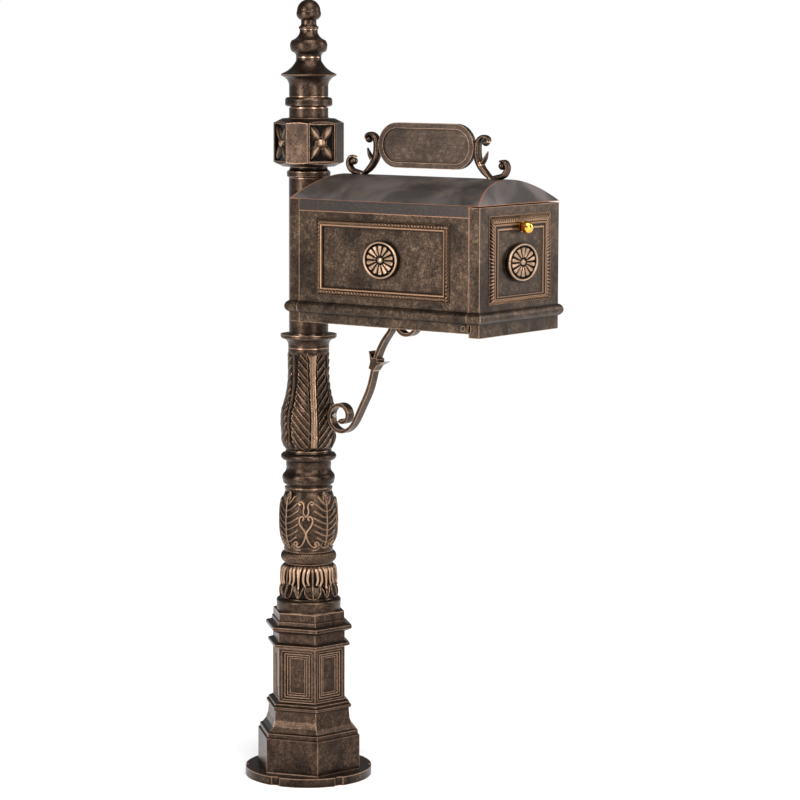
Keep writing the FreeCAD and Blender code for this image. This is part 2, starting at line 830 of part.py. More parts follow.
def rail_corner(name, hand, face, facing):
    """Mitre where the rail turns from a side onto the front (facing -1) or the rear (facing 1)."""
    corner = half_width * hand
    across = rail(name + "_across", s.rail_bulge * 2)
    place(across, corner - s.rail_bulge * facing, face, rail_middle(), (0, 0, 1), 90 * facing)
    along = rail(name + "_along", s.rail_bulge * 2)
    place(along, corner, face + s.rail_bulge * hand, rail_middle(), (0, 0, 1), 90 - 90 * hand)
    return common(name, across, along)


def rail_middle():
    """Height of the rail's middle."""
    return rail_bottom + s.rail_height / 2


def floor():
    """Floor plate between the side walls, level with the top of the rail."""
    start = seam + 1
    depth = rear_face - s.wall - start
    plate = block("floor_plate", -inner_half, start, floor_bottom, inner_half * 2, depth, s.wall)
    hole = rod("floor_screw_hole", s.bracket_screw_radius, s.wall + 4, 0, bracket_top_y(), floor_bottom - 2)
    keep(cut("floor", plate, hole), "box_floor")


def bracket_top_y():
    """Where the scroll bracket meets the floor, in front of the post."""
    return -(s.tube_radius + s.bracket_reach)


def side_wall(name, hand):
    """Side casting: wall, rail and sunk panel field. hand is -1 for the left, 1 for the right."""
    low_x = half_width - s.wall if hand > 0 else -half_width
    wall = block(name + "_wall", low_x, seam, skirt_bottom, s.wall, side_length, side_top - skirt_bottom)
    bar = rail(name + "_rail", side_length)
    if hand > 0:
        place(bar, half_width, side_start, rail_middle())
    else:
        place(bar, -half_width, seam, rail_middle(), (0, 0, 1), 180)
    field_low = rail_top + s.side_border_low + s.border_band
    field_high = side_top - s.side_border_high - s.border_band
    field_start = seam + s.side_border_margin + s.border_band
    field_length = side_length - (s.side_border_margin + s.border_band) * 2
    field_x = half_width - 1.5 if hand > 0 else -half_width - 1.5
    field = block(name + "_field", field_x, field_start, field_low, 3, field_length, field_high - field_low)
    pin_x = half_width - s.wall - 2 if hand > 0 else -half_width - 2
    pin_hole = rod_x(name + "_pin_hole", s.pin_radius, s.wall + 4, pin_x, pivot_y, pivot_z)
    tools = [field, pin_hole]
    if hand > 0:
        flag_hole = rod_x(name + "_flag_hole", s.flag_screw_radius, s.wall + 4, pin_x, flag_y(), flag_z())
        tools.append(flag_hole)
    keep(cut(name, fuse(name + "_cast", wall, bar), *tools), name)


def border(name, plane_x, hand):
    """Raised rectangular frame moulding on a side wall."""
    start = seam + s.side_border_margin
    length = side_length - s.side_border_margin * 2
    low = rail_top + s.side_border_low
    height = side_top - s.side_border_high - low
    low_x = plane_x if hand > 0 else plane_x - s.border_thickness
    outer = block(name + "_outer", low_x, start, low, s.border_thickness, length, height)
    inner = block(
        name + "_inner",
        low_x - 1,
        start + s.border_band,
        low + s.border_band,
        s.border_thickness + 2,
        length - s.border_band * 2,
        height - s.border_band * 2,
    )
    keep(cut(name, outer, inner), name)


def oval(name, major, minor, thickness, axis):
    """Raised oval boss: an ellipse pushed out along axis."""
    ring = doc.addObject("Part::Ellipse", name + "_ellipse")
    bind(ring, "MajorRadius", major)
    bind(ring, "MinorRadius", minor)
    boss = doc.addObject("Part::Extrusion", name + "_boss")
    boss.Base = ring
    boss.DirMode = "Custom"
    boss.Dir = FreeCAD.Vector(*axis)
    boss.Solid = True
    bind(boss, "LengthFwd", thickness)
    return ring, boss


def side_rosette(name, hand):
    """Oval rosette in the middle of a side panel."""
    field = half_width - 1.5
    middle_y = seam + side_length / 2
    low = rail_top + s.side_border_low
    middle_z = (low + side_top - s.side_border_high) / 2
    ring, boss = oval(name, s.rosette_half_length, s.rosette_half_height, s.rosette_thickness, (hand, 0, 0))
    turn = FreeCAD.Rotation(FreeCAD.Vector(0, 1, 0), FreeCAD.Vector(0, 0, 1), FreeCAD.Vector(1, 0, 0), "XYZ")
    ring.Placement = FreeCAD.Placement(FreeCAD.Vector(0, 0, 0), turn)
    place(ring, field * hand, middle_y, middle_z)
    keep(boss, name)


def rear_wall():
    """Rear casting that wraps round both rear corners, with its own length of rail."""
    height = eave - skirt_bottom
    plate = block("rear_plate", -half_width, rear_face - s.wall, skirt_bottom, s.box_width, s.wall, height)
    left = block("rear_left", -half_width, side_start, skirt_bottom, s.wall, s.rear_wrap, height)
    right = block("rear_right", half_width - s.wall, side_start, skirt_bottom, s.wall, s.rear_wrap, height)
    rear_bar = rail("rear_rail", s.box_width)
    place(rear_bar, -half_width, rear_face, rail_middle(), (0, 0, 1), 90)
    right_bar = rail("rear_right_rail", s.rear_wrap)
    place(right_bar, half_width, rear_face, rail_middle())
    left_bar = rail("rear_left_rail", s.rear_wrap)
    place(left_bar, -half_width, side_start, rail_middle(), (0, 0, 1), 180)
    holes = []
    for count, (x, z) in enumerate(saddle_bolt_places()):
        holes.append(rod_y("rear_bolt_hole%d" % count, s.saddle_bolt_radius, s.wall + 4, x, rear_face + 2, z))
    corners = [rail_corner("rear_rail_corner%d" % (hand + 1), hand, rear_face, 1) for hand in (-1, 1)]
    cast = fuse("rear_cast", plate, left, right, rear_bar, right_bar, left_bar, *corners)
    keep(cut("rear_wall", cast, fuse("rear_bolt_holes", *holes)), "rear_wall")


def roof():
    """Barrel roof with leaning ends, and a fascia above each side wall."""
    def barrel(name, width, rise, start, length, low):
        body = padded(name, "XZ_Plane", [
            (-width, as_size(0)),
            (width, as_size(0)),
            (width, as_size(low)),
            (-width, as_size(low), rise),
        ], length)
        return place(body, 0, start, eave - low)

    def wedge(name, inset, top, low):
        lean = s.roof_end_lean
        front = front_face + inset
        rear = rear_face - inset
        shoulders = [(rear, as_size(0)), (rear - lean, top), (front + lean, top), (front, as_size(0))]
        below = [(front, -as_size(low)), (rear, -as_size(low))] if low else []
        body = padded(name, "YZ_Plane", below + shoulders, s.box_width + 40)
        return place(body, -half_width - 20, 0, eave)

    edge = half_width + s.roof_overhang
    outer = common("roof_outer", barrel("roof_barrel", edge, s.crown_rise, rear_face, s.box_length, 4),
                   wedge("roof_wedge", as_size(0), s.crown_rise, 0))
    inner = common("roof_inner",
                   barrel("roof_hollow", edge - s.wall, s.crown_rise - s.wall, rear_face, s.box_length, 10),
                   wedge("roof_hollow_wedge", s.wall * 1.2, s.crown_rise, 10))
    fascias = []
    for hand in (-1, 1):
        low_x = half_width + s.fascia_proud - s.wall if hand > 0 else -half_width - s.fascia_proud
        fascias.append(block("fascia%d" % (hand + 1), low_x, seam, side_top,
                             s.wall, side_length, s.fascia_height))
    shell = cut("roof_shell", outer, inner)
    keep(fuse("roof_cast", shell, *fascias), "box_roof")


def saddle_bolt_places():
    """Centres of the four bolts that hold the letter box to the post, as (x, z)."""
    places = []
    for level in range(2):
        z = rail_top + s.saddle_low + s.saddle_spacing * level
        for hand in (-1, 1):
            places.append((s.saddle_bolt_spread * hand / 2, z))
    return places


def saddles():
    """Two saddle blocks between the tube and the rear wall, with their bolts."""
    blocks = []
    tube_room = rod("saddle_tube_room", s.tube_radius + 0.05, s.tube_height, 0, 0, tube_base)
    depth = s.box_behind - s.tube_radius / 2
    for level in range(2):
        low = rail_top + s.saddle_low + s.saddle_spacing * level - s.saddle_height / 2
        lump = block("saddle_lump%d" % level, -s.saddle_width / 2, rear_face, low, s.saddle_width, depth,
                     s.saddle_height)
        blocks.append(cut("saddle%d" % level, lump, tube_room))
    bolt_holes = []
    bolts = []
    shank = s.box_behind - s.tube_radius + s.wall + 8
    for count, (x, z) in enumerate(saddle_bolt_places()):
        start = rear_face - s.wall
        shaft = rod_y("saddle_shank%d" % count, s.saddle_bolt_radius, shank, x, start + shank, z)
        head = rod_y("saddle_head%d" % count, s.bolt_head_radius, s.bolt_head_height, x, start, z)
        bolts.append(fuse("saddle_bolt%d" % count, shaft, head))
        bolt_holes.append(rod_y("saddle_hole%d" % count, s.saddle_bolt_radius, shank + 40, x, start + shank, z))
    holes = fuse("saddle_holes", *bolt_holes)
    drilled = [cut("saddle_drilled%d" % count, lump, holes) for count, lump in enumerate(blocks)]
    keep(group("mounting_saddles", *drilled), "mounting_saddles")
    keep(group("saddle_bolt_set", *bolts), "saddle_bolts")


# ---------------------------------------------------------------- door

def door():
    """Door casting: full-width cap with side flanges, rail and two hinge lugs."""
    bottom = skirt_bottom - s.door_below
    top = eave - s.door_top_gap
    height = top - bottom
    depth = s.door_depth - s.door_gap
    pan = block("door_pan", -half_width, front_face, bottom, s.box_width, depth, height)
    hollow = block("door_hollow", -half_width + s.wall, front_face + s.wall, bottom + s.wall,
                   s.box_width - s.wall * 2, depth, height - s.wall * 2)
    front_bar = rail("door_front_rail", s.box_width)
    place(front_bar, half_width, front_face, rail_middle(), (0, 0, 1), -90)
    right_bar = rail("door_right_rail", depth)
    place(right_bar, half_width, front_face + depth, rail_middle())
    left_bar = rail("door_left_rail", depth)
    place(left_bar, -half_width, front_face, rail_middle(), (0, 0, 1), 180)
    shell = cut("door_tray", pan, hollow)
    scoop_radius_squared = s.pivot_behind_seam * s.pivot_behind_seam + s.pivot_above_skirt * s.pivot_above_skirt
    scoop = Size("sqrt(%s)" % scoop_radius_squared.text, math.sqrt(scoop_radius_squared.value)) + s.scoop_gap
    scoops = []
    lugs = []
    holes = []
    for hand in (-1, 1):
        lug_x = half_width - s.wall - s.lug_side_gap - s.lug_thickness
        scoop_x = half_width - s.wall - 1 if hand > 0 else -half_width - 15
        scoops.append(rod_x("door_scoop%d" % (hand + 1), scoop, s.wall + 16, scoop_x, pivot_y, pivot_z))
        low_x = lug_x if hand > 0 else -lug_x - s.lug_thickness
        arm = block("door_lug_arm%d" % (hand + 1), low_x, front_face + s.wall - 1, pivot_z - s.lug_radius,
                    s.lug_thickness, pivot_y - front_face - s.wall + 1, s.lug_radius * 2)
        eye = rod_x("door_lug_eye%d" % (hand + 1), s.lug_radius, s.lug_thickness, low_x, pivot_y, pivot_z)
        lugs += [arm, eye]
        holes.append(rod_x("door_lug_hole%d" % (hand + 1), s.pin_radius + s.pin_clearance,
                           s.lug_thickness + 4, low_x - 2, pivot_y, pivot_z))
    corners = [rail_corner("door_rail_corner%d" % (hand + 1), hand, front_face, -1) for hand in (-1, 1)]
    cast = fuse("door_cast", shell, front_bar, right_bar, left_bar, *corners)
    scooped = cut("door_scooped", cast, *scoops)
    whole = fuse("door_lugged", scooped, *lugs)
    screw_hole = rod_y("door_knob_hole", s.knob_screw_radius, s.wall + 4, 0, front_face + s.wall + 2, knob_z())
    keep(cut("door_shell", whole, fuse("door_pin_holes", *holes), screw_hole), "door_shell")


def door_fields():
    """Half-width, lowest and highest edge of the door's raised border."""
    return half_width - s.door_stile, rail_top + s.door_border_low, eave - s.door_border_high


def knob_z():
    """Height of the knob: on the upper run of the border."""
    half, low, high = door_fields()
    return high - s.door_border_band + 7


def door_trim():
    """Raised border and rosette on the door's face."""
    half, low, high = door_fields()
    outer = block("door_border_outer", -half, front_face - s.border_thickness, low, half * 2,
                  s.border_thickness, high - low)
    inner = block("door_border_inner", -half + s.door_border_band, front_face - s.border_thickness - 1,
                  low + s.door_border_band / 2, (half - s.door_border_band) * 2, s.border_thickness + 2,
                  high - low - s.door_border_band * 1.5)
    knob_hole = rod_y("door_border_hole", s.knob_screw_radius, s.border_thickness + 4,
                      0, front_face + 2, knob_z())
    keep(cut("door_border", outer, inner, knob_hole), "door_border")
    ring, boss = oval("door_rosette", s.door_rosette_half_width, s.rosette_half_height,
                      s.rosette_thickness, (0, -1, 0))
    turn = FreeCAD.Rotation(FreeCAD.Vector(1, 0, 0), FreeCAD.Vector(0, 0, 1), FreeCAD.Vector(0, -1, 0), "XYZ")
    ring.Placement = FreeCAD.Placement(FreeCAD.Vector(0, 0, 0), turn)
    place(ring, 0, front_face, (low + high) / 2 - s.door_border_band / 4)
    keep(boss, "door_rosette")


def knob():
    """Turned brass knob, with the screw that holds it from inside the door."""
    start = front_face - s.border_thickness
    base = rod_y("knob_base", s.knob_base_radius, 3, 0, start, knob_z())
    neck = rod_y("knob_neck", s.knob_neck_radius, s.knob_neck_length, 0, start, knob_z())
    head = doc.addObject("Part::Sphere", "knob_head")
    bind(head, "Radius", s.knob_radius)
    place(head, 0, start - s.knob_neck_length - s.knob_radius * 0.8, knob_z())
    reach = s.wall + s.border_thickness + 8
    hole = rod_y("knob_hole", s.knob_screw_radius, reach, 0, front_face + s.wall, knob_z())
    keep(cut("knob_solid", fuse("knob_cast", base, neck, head), hole), "door_knob")
    shank = rod_y("knob_screw_shank", s.knob_screw_radius, reach - 0.5, 0, front_face + s.wall, knob_z())
    head = rod_y("knob_screw_head", s.knob_screw_radius * 2, 2, 0, front_face + s.wall + 2, knob_z())
    keep(fuse("knob_screw_solid", shank, head), "knob_screw")


def hinge_pins():
    """Two headed pins through the side walls, on which the door's lugs turn."""
    pins = []
    for hand in (-1, 1):
        end = half_width - s.pin_reach
        shank_x = end if hand > 0 else -half_width
        head_x = half_width if hand > 0 else -half_width - s.pin_head_height
        shank = rod_x("pin_shank%d" % (hand + 1), s.pin_radius, s.pin_reach, shank_x, pivot_y, pivot_z)
        head = rod_x("pin_head%d" % (hand + 1), s.pin_head_radius, s.pin_head_height, head_x, pivot_y, pivot_z)
        pins.append(fuse("hinge_pin%d" % (hand + 1), shank, head))
    keep(group("hinge_pin_pair", *pins), "hinge_pins")


def catch():
    """Header bar under the roof with a magnet, and the strike plate inside the door."""
    top = eave - s.header_inset - 1
    header = block("header_bar", -inner_half, seam + s.header_inset, top - s.header_height,
                   inner_half * 2, s.header_depth, s.header_height)
    keep(header, "door_header")
    middle = top - s.header_height / 2 - s.magnet_drop
    strike_face = front_face + s.wall + s.strike_thickness
    magnet = block("magnet_block", -s.magnet_width / 2, strike_face + s.catch_gap, middle - s.magnet_height / 2,
                   s.magnet_width, seam + s.header_inset - strike_face - s.catch_gap, s.magnet_height)
    keep(magnet, "catch_magnet")
    strike = block("strike_block", -s.magnet_width / 2, front_face + s.wall, middle - s.magnet_height / 2,
                   s.magnet_width, s.strike_thickness, s.magnet_height)
    keep(strike, "strike_plate")


# ---------------------------------------------------------------- name plate and scrolls

def name_plate():
    """Blank obround plate with a raised rim and a sunk field on both faces."""
    def obround(name, length, height, thickness, x, shift):
        half = length / 2
        radius = height / 2
        quarter = radius * (1 - math.sqrt(0.5))
        body = padded(name, "YZ_Plane", [
            (-half + radius, -radius, quarter),
            (half - radius, -radius),
            (half, as_size(0), quarter),
            (half - radius, radius, quarter),
            (-half + radius, radius),
            (-half, as_size(0), quarter),
        ], thickness)
        return place(body, x, plate_middle, plate_bottom + s.plate_height / 2 + shift)

    plate = obround("plate_outer", s.plate_length, s.plate_height, s.plate_thickness, -s.plate_thickness / 2, 0)
    sunk = []
    for hand in (-1, 1):
        x = s.plate_thickness / 2 - s.plate_sink if hand > 0 else -s.plate_thickness / 2 - 2
        sunk.append(obround("plate_sunk%d" % (hand + 1), s.plate_length - s.plate_rim * 2,
                            s.plate_height - s.plate_rim * 2, s.plate_sink + 2, x, 0))
    keep(cut("name_plate", plate, *sunk), "name_plate")


def ribbon(name, path, thickness, width):
    """A flat bar bent on edge: path holds (y, z) points, thickness a value for each of them."""
    points = [FreeCAD.Vector(0, y, z) for y, z in path]
    left = []
    right = []
    for index, point in enumerate(points):
        before = points[max(index - 1, 0)]
        after = points[min(index + 1, len(points) - 1)]
        along = (after - before).normalize()
        aside = FreeCAD.Vector(0, -along.z, along.y) * (thickness[index] / 2)
        left.append(point + aside - FreeCAD.Vector(width / 2, 0, 0))
        right.append(point - aside - FreeCAD.Vector(width / 2, 0, 0))
    one = Part.BSplineCurve()
    one.interpolate(left)
    other = Part.BSplineCurve()
    other.interpolate(right)
    ends = [Part.makeLine(left[-1], right[-1]), Part.makeLine(right[0], left[0])]
    wire = Part.Wire(Part.__sortEdges__([one.toShape(), other.toShape()] + ends))
    return Part.Face(wire).extrude(FreeCAD.Vector(width, 0, 0))


def volute(centre, start_angle, sweep, first, last, power, count):
    """Points of a spiral that tightens slowly at first: radius from first to last."""
    points = []
    for index in range(count):
        part = index / (count - 1)
        radius = volute_radius(part, first, last, power)
        angle = math.radians(start_angle + sweep * part)
        points.append((centre[0] + radius * math.cos(angle), centre[1] + radius * math.sin(angle)))
    return points


def plate_scrolls():
    """Two C-scrolls that carry the name plate on the ridge of the roof."""
    half = s.plate_length.value / 2
    middle = plate_middle.value
    foot_z = crown.value
    rise = (plate_bottom + s.plate_height).value - foot_z
    for name, hand in (("rear_scroll", 1), ("front_scroll", -1)):
        touch = middle + hand * half
        # the strap, from its foot on the ridge up to the hook beside the plate
        strap = [(45, 3), (35, 9), (21, 21), (9.5, 40), (5.8, 61), (8, 76), (17, 86), (27, 92), (37, 89),
                 (41, 82)]
        strap_path = [(touch + hand * away, foot_z + up * rise / 115) for away, up in strap]
        strap_thickness = [10, 11, 12, 12, 11, 10, 9, 8, 7, 5]
        # the lower volute, from the foot round to its eye
        curl = [(44, 4), (58, 4), (74, 8), (85, 19), (86, 32), (77, 41), (66, 41), (61, 33), (66, 27)]
        curl_path = [(touch + hand * away, foot_z + up * rise / 115) for away, up in curl]
        curl_thickness = [9, 9, 9, 9, 9, 8, 8, 8, 6]
        width = s.scroll_width.value
        shape = ribbon(name, strap_path, strap_thickness, width)
        shape = shape.fuse(ribbon(name, curl_path, curl_thickness, width))
        foot = Part.makeBox(width, 26, 5, FreeCAD.Vector(-width / 2, touch + hand * 46 - 13, foot_z - 0.2))
        roof_body = doc.getObject("roof_barrel").Shape
        shape = shape.fuse(foot).cut(roof_body).removeSplitter()
        scroll = doc.addObject("Part::Feature", name)
        scroll.Shape = shape
        keep(scroll, name)


# ---------------------------------------------------------------- scroll bracket

def volute_radius(part, first, last, power):
    """Radius of a volute at a share of its sweep: it tightens slowly at first."""
    return last + (first - last) * (1 - part ** power)


def bracket_foot_z():
    """Height of the lower volute, at the belly of the baluster."""
    return baluster_base + s.bracket_foot_height


def scroll_bracket():
    """Bent strap from the baluster up to the floor, with a volute at each end."""
    width = s.strap_width.value
    thick = s.strap_thickness.value
    belly = s.baluster_belly_radius.value
    low_start, low_sweep, low_first, low_last, low_power = 237, 420, 34.0, 9.0, 1.6
    reach = volute_radius((360 - low_start) / low_sweep, low_first, low_last, low_power)
    low_centre = (-(belly + thick / 2 + reach + 0.1), bracket_foot_z().value)
    high_start, high_sweep, high_first, high_last, high_power = -20, 400, 38.0, 12.0, 3.2
    reach = volute_radius((90 - high_start) / high_sweep, high_first, high_last, high_power)
    high_centre = (bracket_top_y().value, floor_bottom.value - reach - thick / 2 - 0.1)
    low_curl = volute(low_centre, low_start, low_sweep, low_first, low_last, low_power, 30)
    high_curl = volute(high_centre, high_start, high_sweep, high_first, high_last, high_power, 30)
    ear_y = high_centre[0] + 80
    ear_z = high_centre[1] - 98
    bends = [(ear_y + 42, ear_z - 106), (ear_y + 16, ear_z - 54), (ear_y + 1, ear_z), (ear_y - 34, ear_z + 66)]
    path = list(reversed(low_curl)) + bends + high_curl
    thickness = [thick] * len(path)
    shape = ribbon("scroll_bracket", path, thickness, width)
    foot_hole = Part.makeCylinder(s.bracket_screw_radius.value, 30, FreeCAD.Vector(0, -belly, low_centre[1]),
                                  FreeCAD.Vector(0, -1, 0))
    top_hole = Part.makeCylinder(s.bracket_screw_radius.value, 30,
                                 FreeCAD.Vector(0, high_centre[0], floor_bottom.value - 14))
    bracket = doc.addObject("Part::Feature", "scroll_bracket_strap")
    bracket.Shape = shape.cut(foot_hole).cut(top_hole)
    keep(bracket, "scroll_bracket")
    # pointed leaf collar around the strap
    along = FreeCAD.Vector(0, -0.46, 0.89)
    across = FreeCAD.Vector(0, 0.89, 0.46)
    middle = FreeCAD.Vector(-width / 2 - 2, ear_y, ear_z)
    corners = []
    for aside, up in ((7, -16), (10, 0), (24, 18), (8, 8), (5, 14), (-5, 14), (-8, 8), (-24, 18), (-10, 0),
                      (-7, -16)):
        corners.append(middle + across * aside + along * up)
    leaf_face = Part.Face(Part.makePolygon(corners + corners[:1]))
    leaf_shape = leaf_face.extrude(FreeCAD.Vector(width + 4, 0, 0)).cut(shape)
    leaf = doc.addObject("Part::Feature", "bracket_leaf_collar")
    leaf.Shape = Part.makeCompound(leaf_shape.Solids)
    keep(leaf, "bracket_leaf")


def bracket_screws():
    """One screw through the lower volute into the baluster, and one down through the floor."""
    radius = s.bracket_screw_radius
    head_radius = radius * 1.8
    seat = s.baluster_belly_radius + s.strap_thickness + 1.2
    shank = rod_y("foot_screw_shank", radius, s.strap_thickness + 12, 0, -seat + s.strap_thickness + 12,
                  bracket_foot_z())
    head = rod_y("foot_screw_head", head_radius, 3, 0, -seat, bracket_foot_z())
    down = s.wall + s.strap_thickness
    top_shank = rod("top_screw_shank", radius, down, 0, bracket_top_y(), rail_top - down)
    top_head = rod("top_screw_head", head_radius, 3, 0, bracket_top_y(), rail_top)
    pair = group("bracket_screw_pair", fuse("foot_screw", shank, head), fuse("top_screw", top_shank, top_head))
    keep(pair, "bracket_screws")


post_makers = [base_flange, pedestal, column, post_tube, flower_block, upper_castings, finial_ball, tie_rod]
for make in post_makers:
    make()


def flag_y():
    """The flag's pivot, behind the door seam."""
    return seam + s.flag_pivot_front


def flag_z():
    """Height of the flag's pivot."""
    return side_top - s.flag_pivot_drop


def flag():
    """Carrier's signal flag on the right side: lowered, it lies back along the wall."""
    arm_x = half_width + s.flag_standoff
    half = s.flag_arm_width / 2
    eye = rod_x("flag_eye", half, s.flag_thickness, arm_x, flag_y(), flag_z())
    arm = block("flag_bar", arm_x, flag_y(), flag_z() - half,
                s.flag_thickness, s.flag_arm_length, s.flag_arm_width)
    blade = block("flag_blade", arm_x, flag_y() + s.flag_arm_length - s.flag_blade_length, flag_z() - half,
                  s.flag_thickness, s.flag_blade_length, s.flag_blade_height)
    hole = rod_x("flag_hole", s.flag_screw_radius + s.pin_clearance, s.flag_thickness + 4, arm_x - 2,
                 flag_y(), flag_z())
    keep(cut("signal_flag", fuse("flag_sheet", eye, arm, blade), hole), "signal_flag")
    shank = rod_x("flag_shank", s.flag_screw_radius, s.wall + s.flag_standoff + s.flag_thickness + 3,
                  half_width - s.wall, flag_y(), flag_z())
    head_x = arm_x + s.flag_thickness + 0.3
    head = rod_x("flag_head", half - 1, 3, head_x, flag_y(), flag_z())
    keep(fuse("flag_screw", shank, head), "flag_pivot_screw")
    tube = rod_x("flag_bush_tube", half - 2, s.flag_standoff - 0.3, half_width, flag_y(), flag_z())
    tube_hole = rod_x("flag_bush_hole", s.flag_screw_radius, s.flag_standoff + 4,
                      half_width - 2, flag_y(), flag_z())
    keep(cut("flag_bush_ring", tube, tube_hole), "flag_bush")


box_makers = [floor, bracket_screws, saddles, rear_wall, roof, door, door_trim, knob, hinge_pins, catch,
              name_plate, flag]
for make in box_makers:
    make()
side_wall("left_side", -1)
side_wall("right_side", 1)
border("left_border", -half_width, -1)
border("right_border", half_width, 1)
side_rosette("left_rosette", -1)
side_rosette("right_rosette", 1)
doc.recompute()
plate_scrolls()
scroll_bracket()
doc.recompute()

faults = [thing.Label for thing in doc.Objects if "Invalid" in thing.State or "Error" in thing.State]
for thing in parts:
    if thing.Shape.isNull() or not thing.Shape.isValid():
        faults.append(thing.Label + " has no valid shape")
if faults:
    raise RuntimeError("these objects failed: " + ", ".join(faults))

os.makedirs("parts", exist_ok=True)
for thing in parts:
    thing.Shape.exportStep("parts/%s.step" % thing.Label)
    box = thing.Shape.BoundBox
    print("%-18s %d solids  x %.1f..%.1f  y %.1f..%.1f  z %.1f..%.1f  volume %.0f" % (
        thing.Label, len(thing.Shape.Solids), box.XMin, box.XMax, box.YMin, box.YMax, box.ZMin, box.ZMax,
        thing.Shape.Volume))
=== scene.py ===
import math

import bmesh
import bpy
import numpy as np
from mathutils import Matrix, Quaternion, Vector


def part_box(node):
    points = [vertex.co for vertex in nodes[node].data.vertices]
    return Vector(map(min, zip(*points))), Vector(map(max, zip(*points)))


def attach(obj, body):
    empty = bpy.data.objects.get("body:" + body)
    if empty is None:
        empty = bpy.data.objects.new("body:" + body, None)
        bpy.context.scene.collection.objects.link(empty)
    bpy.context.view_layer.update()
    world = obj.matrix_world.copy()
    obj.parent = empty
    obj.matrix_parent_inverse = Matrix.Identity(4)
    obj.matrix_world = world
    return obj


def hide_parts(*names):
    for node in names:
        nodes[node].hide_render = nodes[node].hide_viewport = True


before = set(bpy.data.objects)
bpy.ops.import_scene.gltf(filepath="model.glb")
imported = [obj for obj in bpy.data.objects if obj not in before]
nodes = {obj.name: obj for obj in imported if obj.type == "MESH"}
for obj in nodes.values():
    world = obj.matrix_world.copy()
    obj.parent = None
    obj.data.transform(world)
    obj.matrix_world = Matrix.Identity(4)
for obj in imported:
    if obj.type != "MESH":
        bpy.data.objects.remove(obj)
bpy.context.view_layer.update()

# Kerbside letter box in antique bronze on an ornamented post. Metres, +Z up, origin on the ground at the
# post's axis; the box stands out towards -Y. MM turns the millimetres used below into metres.
MM = 0.001
scene = bpy.context.scene

# ---------------------------------------------------------------------------------------------------------
# camera
# ---------------------------------------------------------------------------------------------------------
CAMERA_PLACE = (-5.143, -4.085, 1.666)
CAMERA_AZIMUTH = math.radians(-53.33)
CAMERA_PITCH = math.radians(6.56)
CAMERA_ROLL = math.radians(0.21)
CAMERA_LENS = 132.4
CAMERA_SHIFT = -0.03


def make_camera():
    """The viewing angle: off the door's left corner and a little above the roof."""
    camera = bpy.data.objects.new("camera", bpy.data.cameras.new("camera"))
    scene.collection.objects.link(camera)
    back = Vector((
        math.sin(CAMERA_AZIMUTH) * math.cos(CAMERA_PITCH),
        -math.cos(CAMERA_AZIMUTH) * math.cos(CAMERA_PITCH),
        math.sin(CAMERA_PITCH),
    ))
    camera.rotation_mode = "QUATERNION"
    level = (-back).to_track_quat("-Z", "Y")
    camera.rotation_quaternion = level @ Quaternion((0, 0, 1), CAMERA_ROLL)
    camera.location = CAMERA_PLACE
    camera.data.lens = CAMERA_LENS
    camera.data.sensor_width = 36
    camera.data.shift_y = CAMERA_SHIFT
    camera.data.clip_start = 0.1
    camera.data.clip_end = 200
    scene.camera = camera


# ---------------------------------------------------------------------------------------------------------
# materials
# ---------------------------------------------------------------------------------------------------------
def rgb(text):
    """Linear colour of an sRGB hex string."""
    out = []
    for start in (0, 2, 4):
        value = int(text[start:start + 2], 16) / 255
        out.append(value / 12.92 if value <= 0.04045 else ((value + 0.055) / 1.055) ** 2.4)
    return (*out, 1.0)


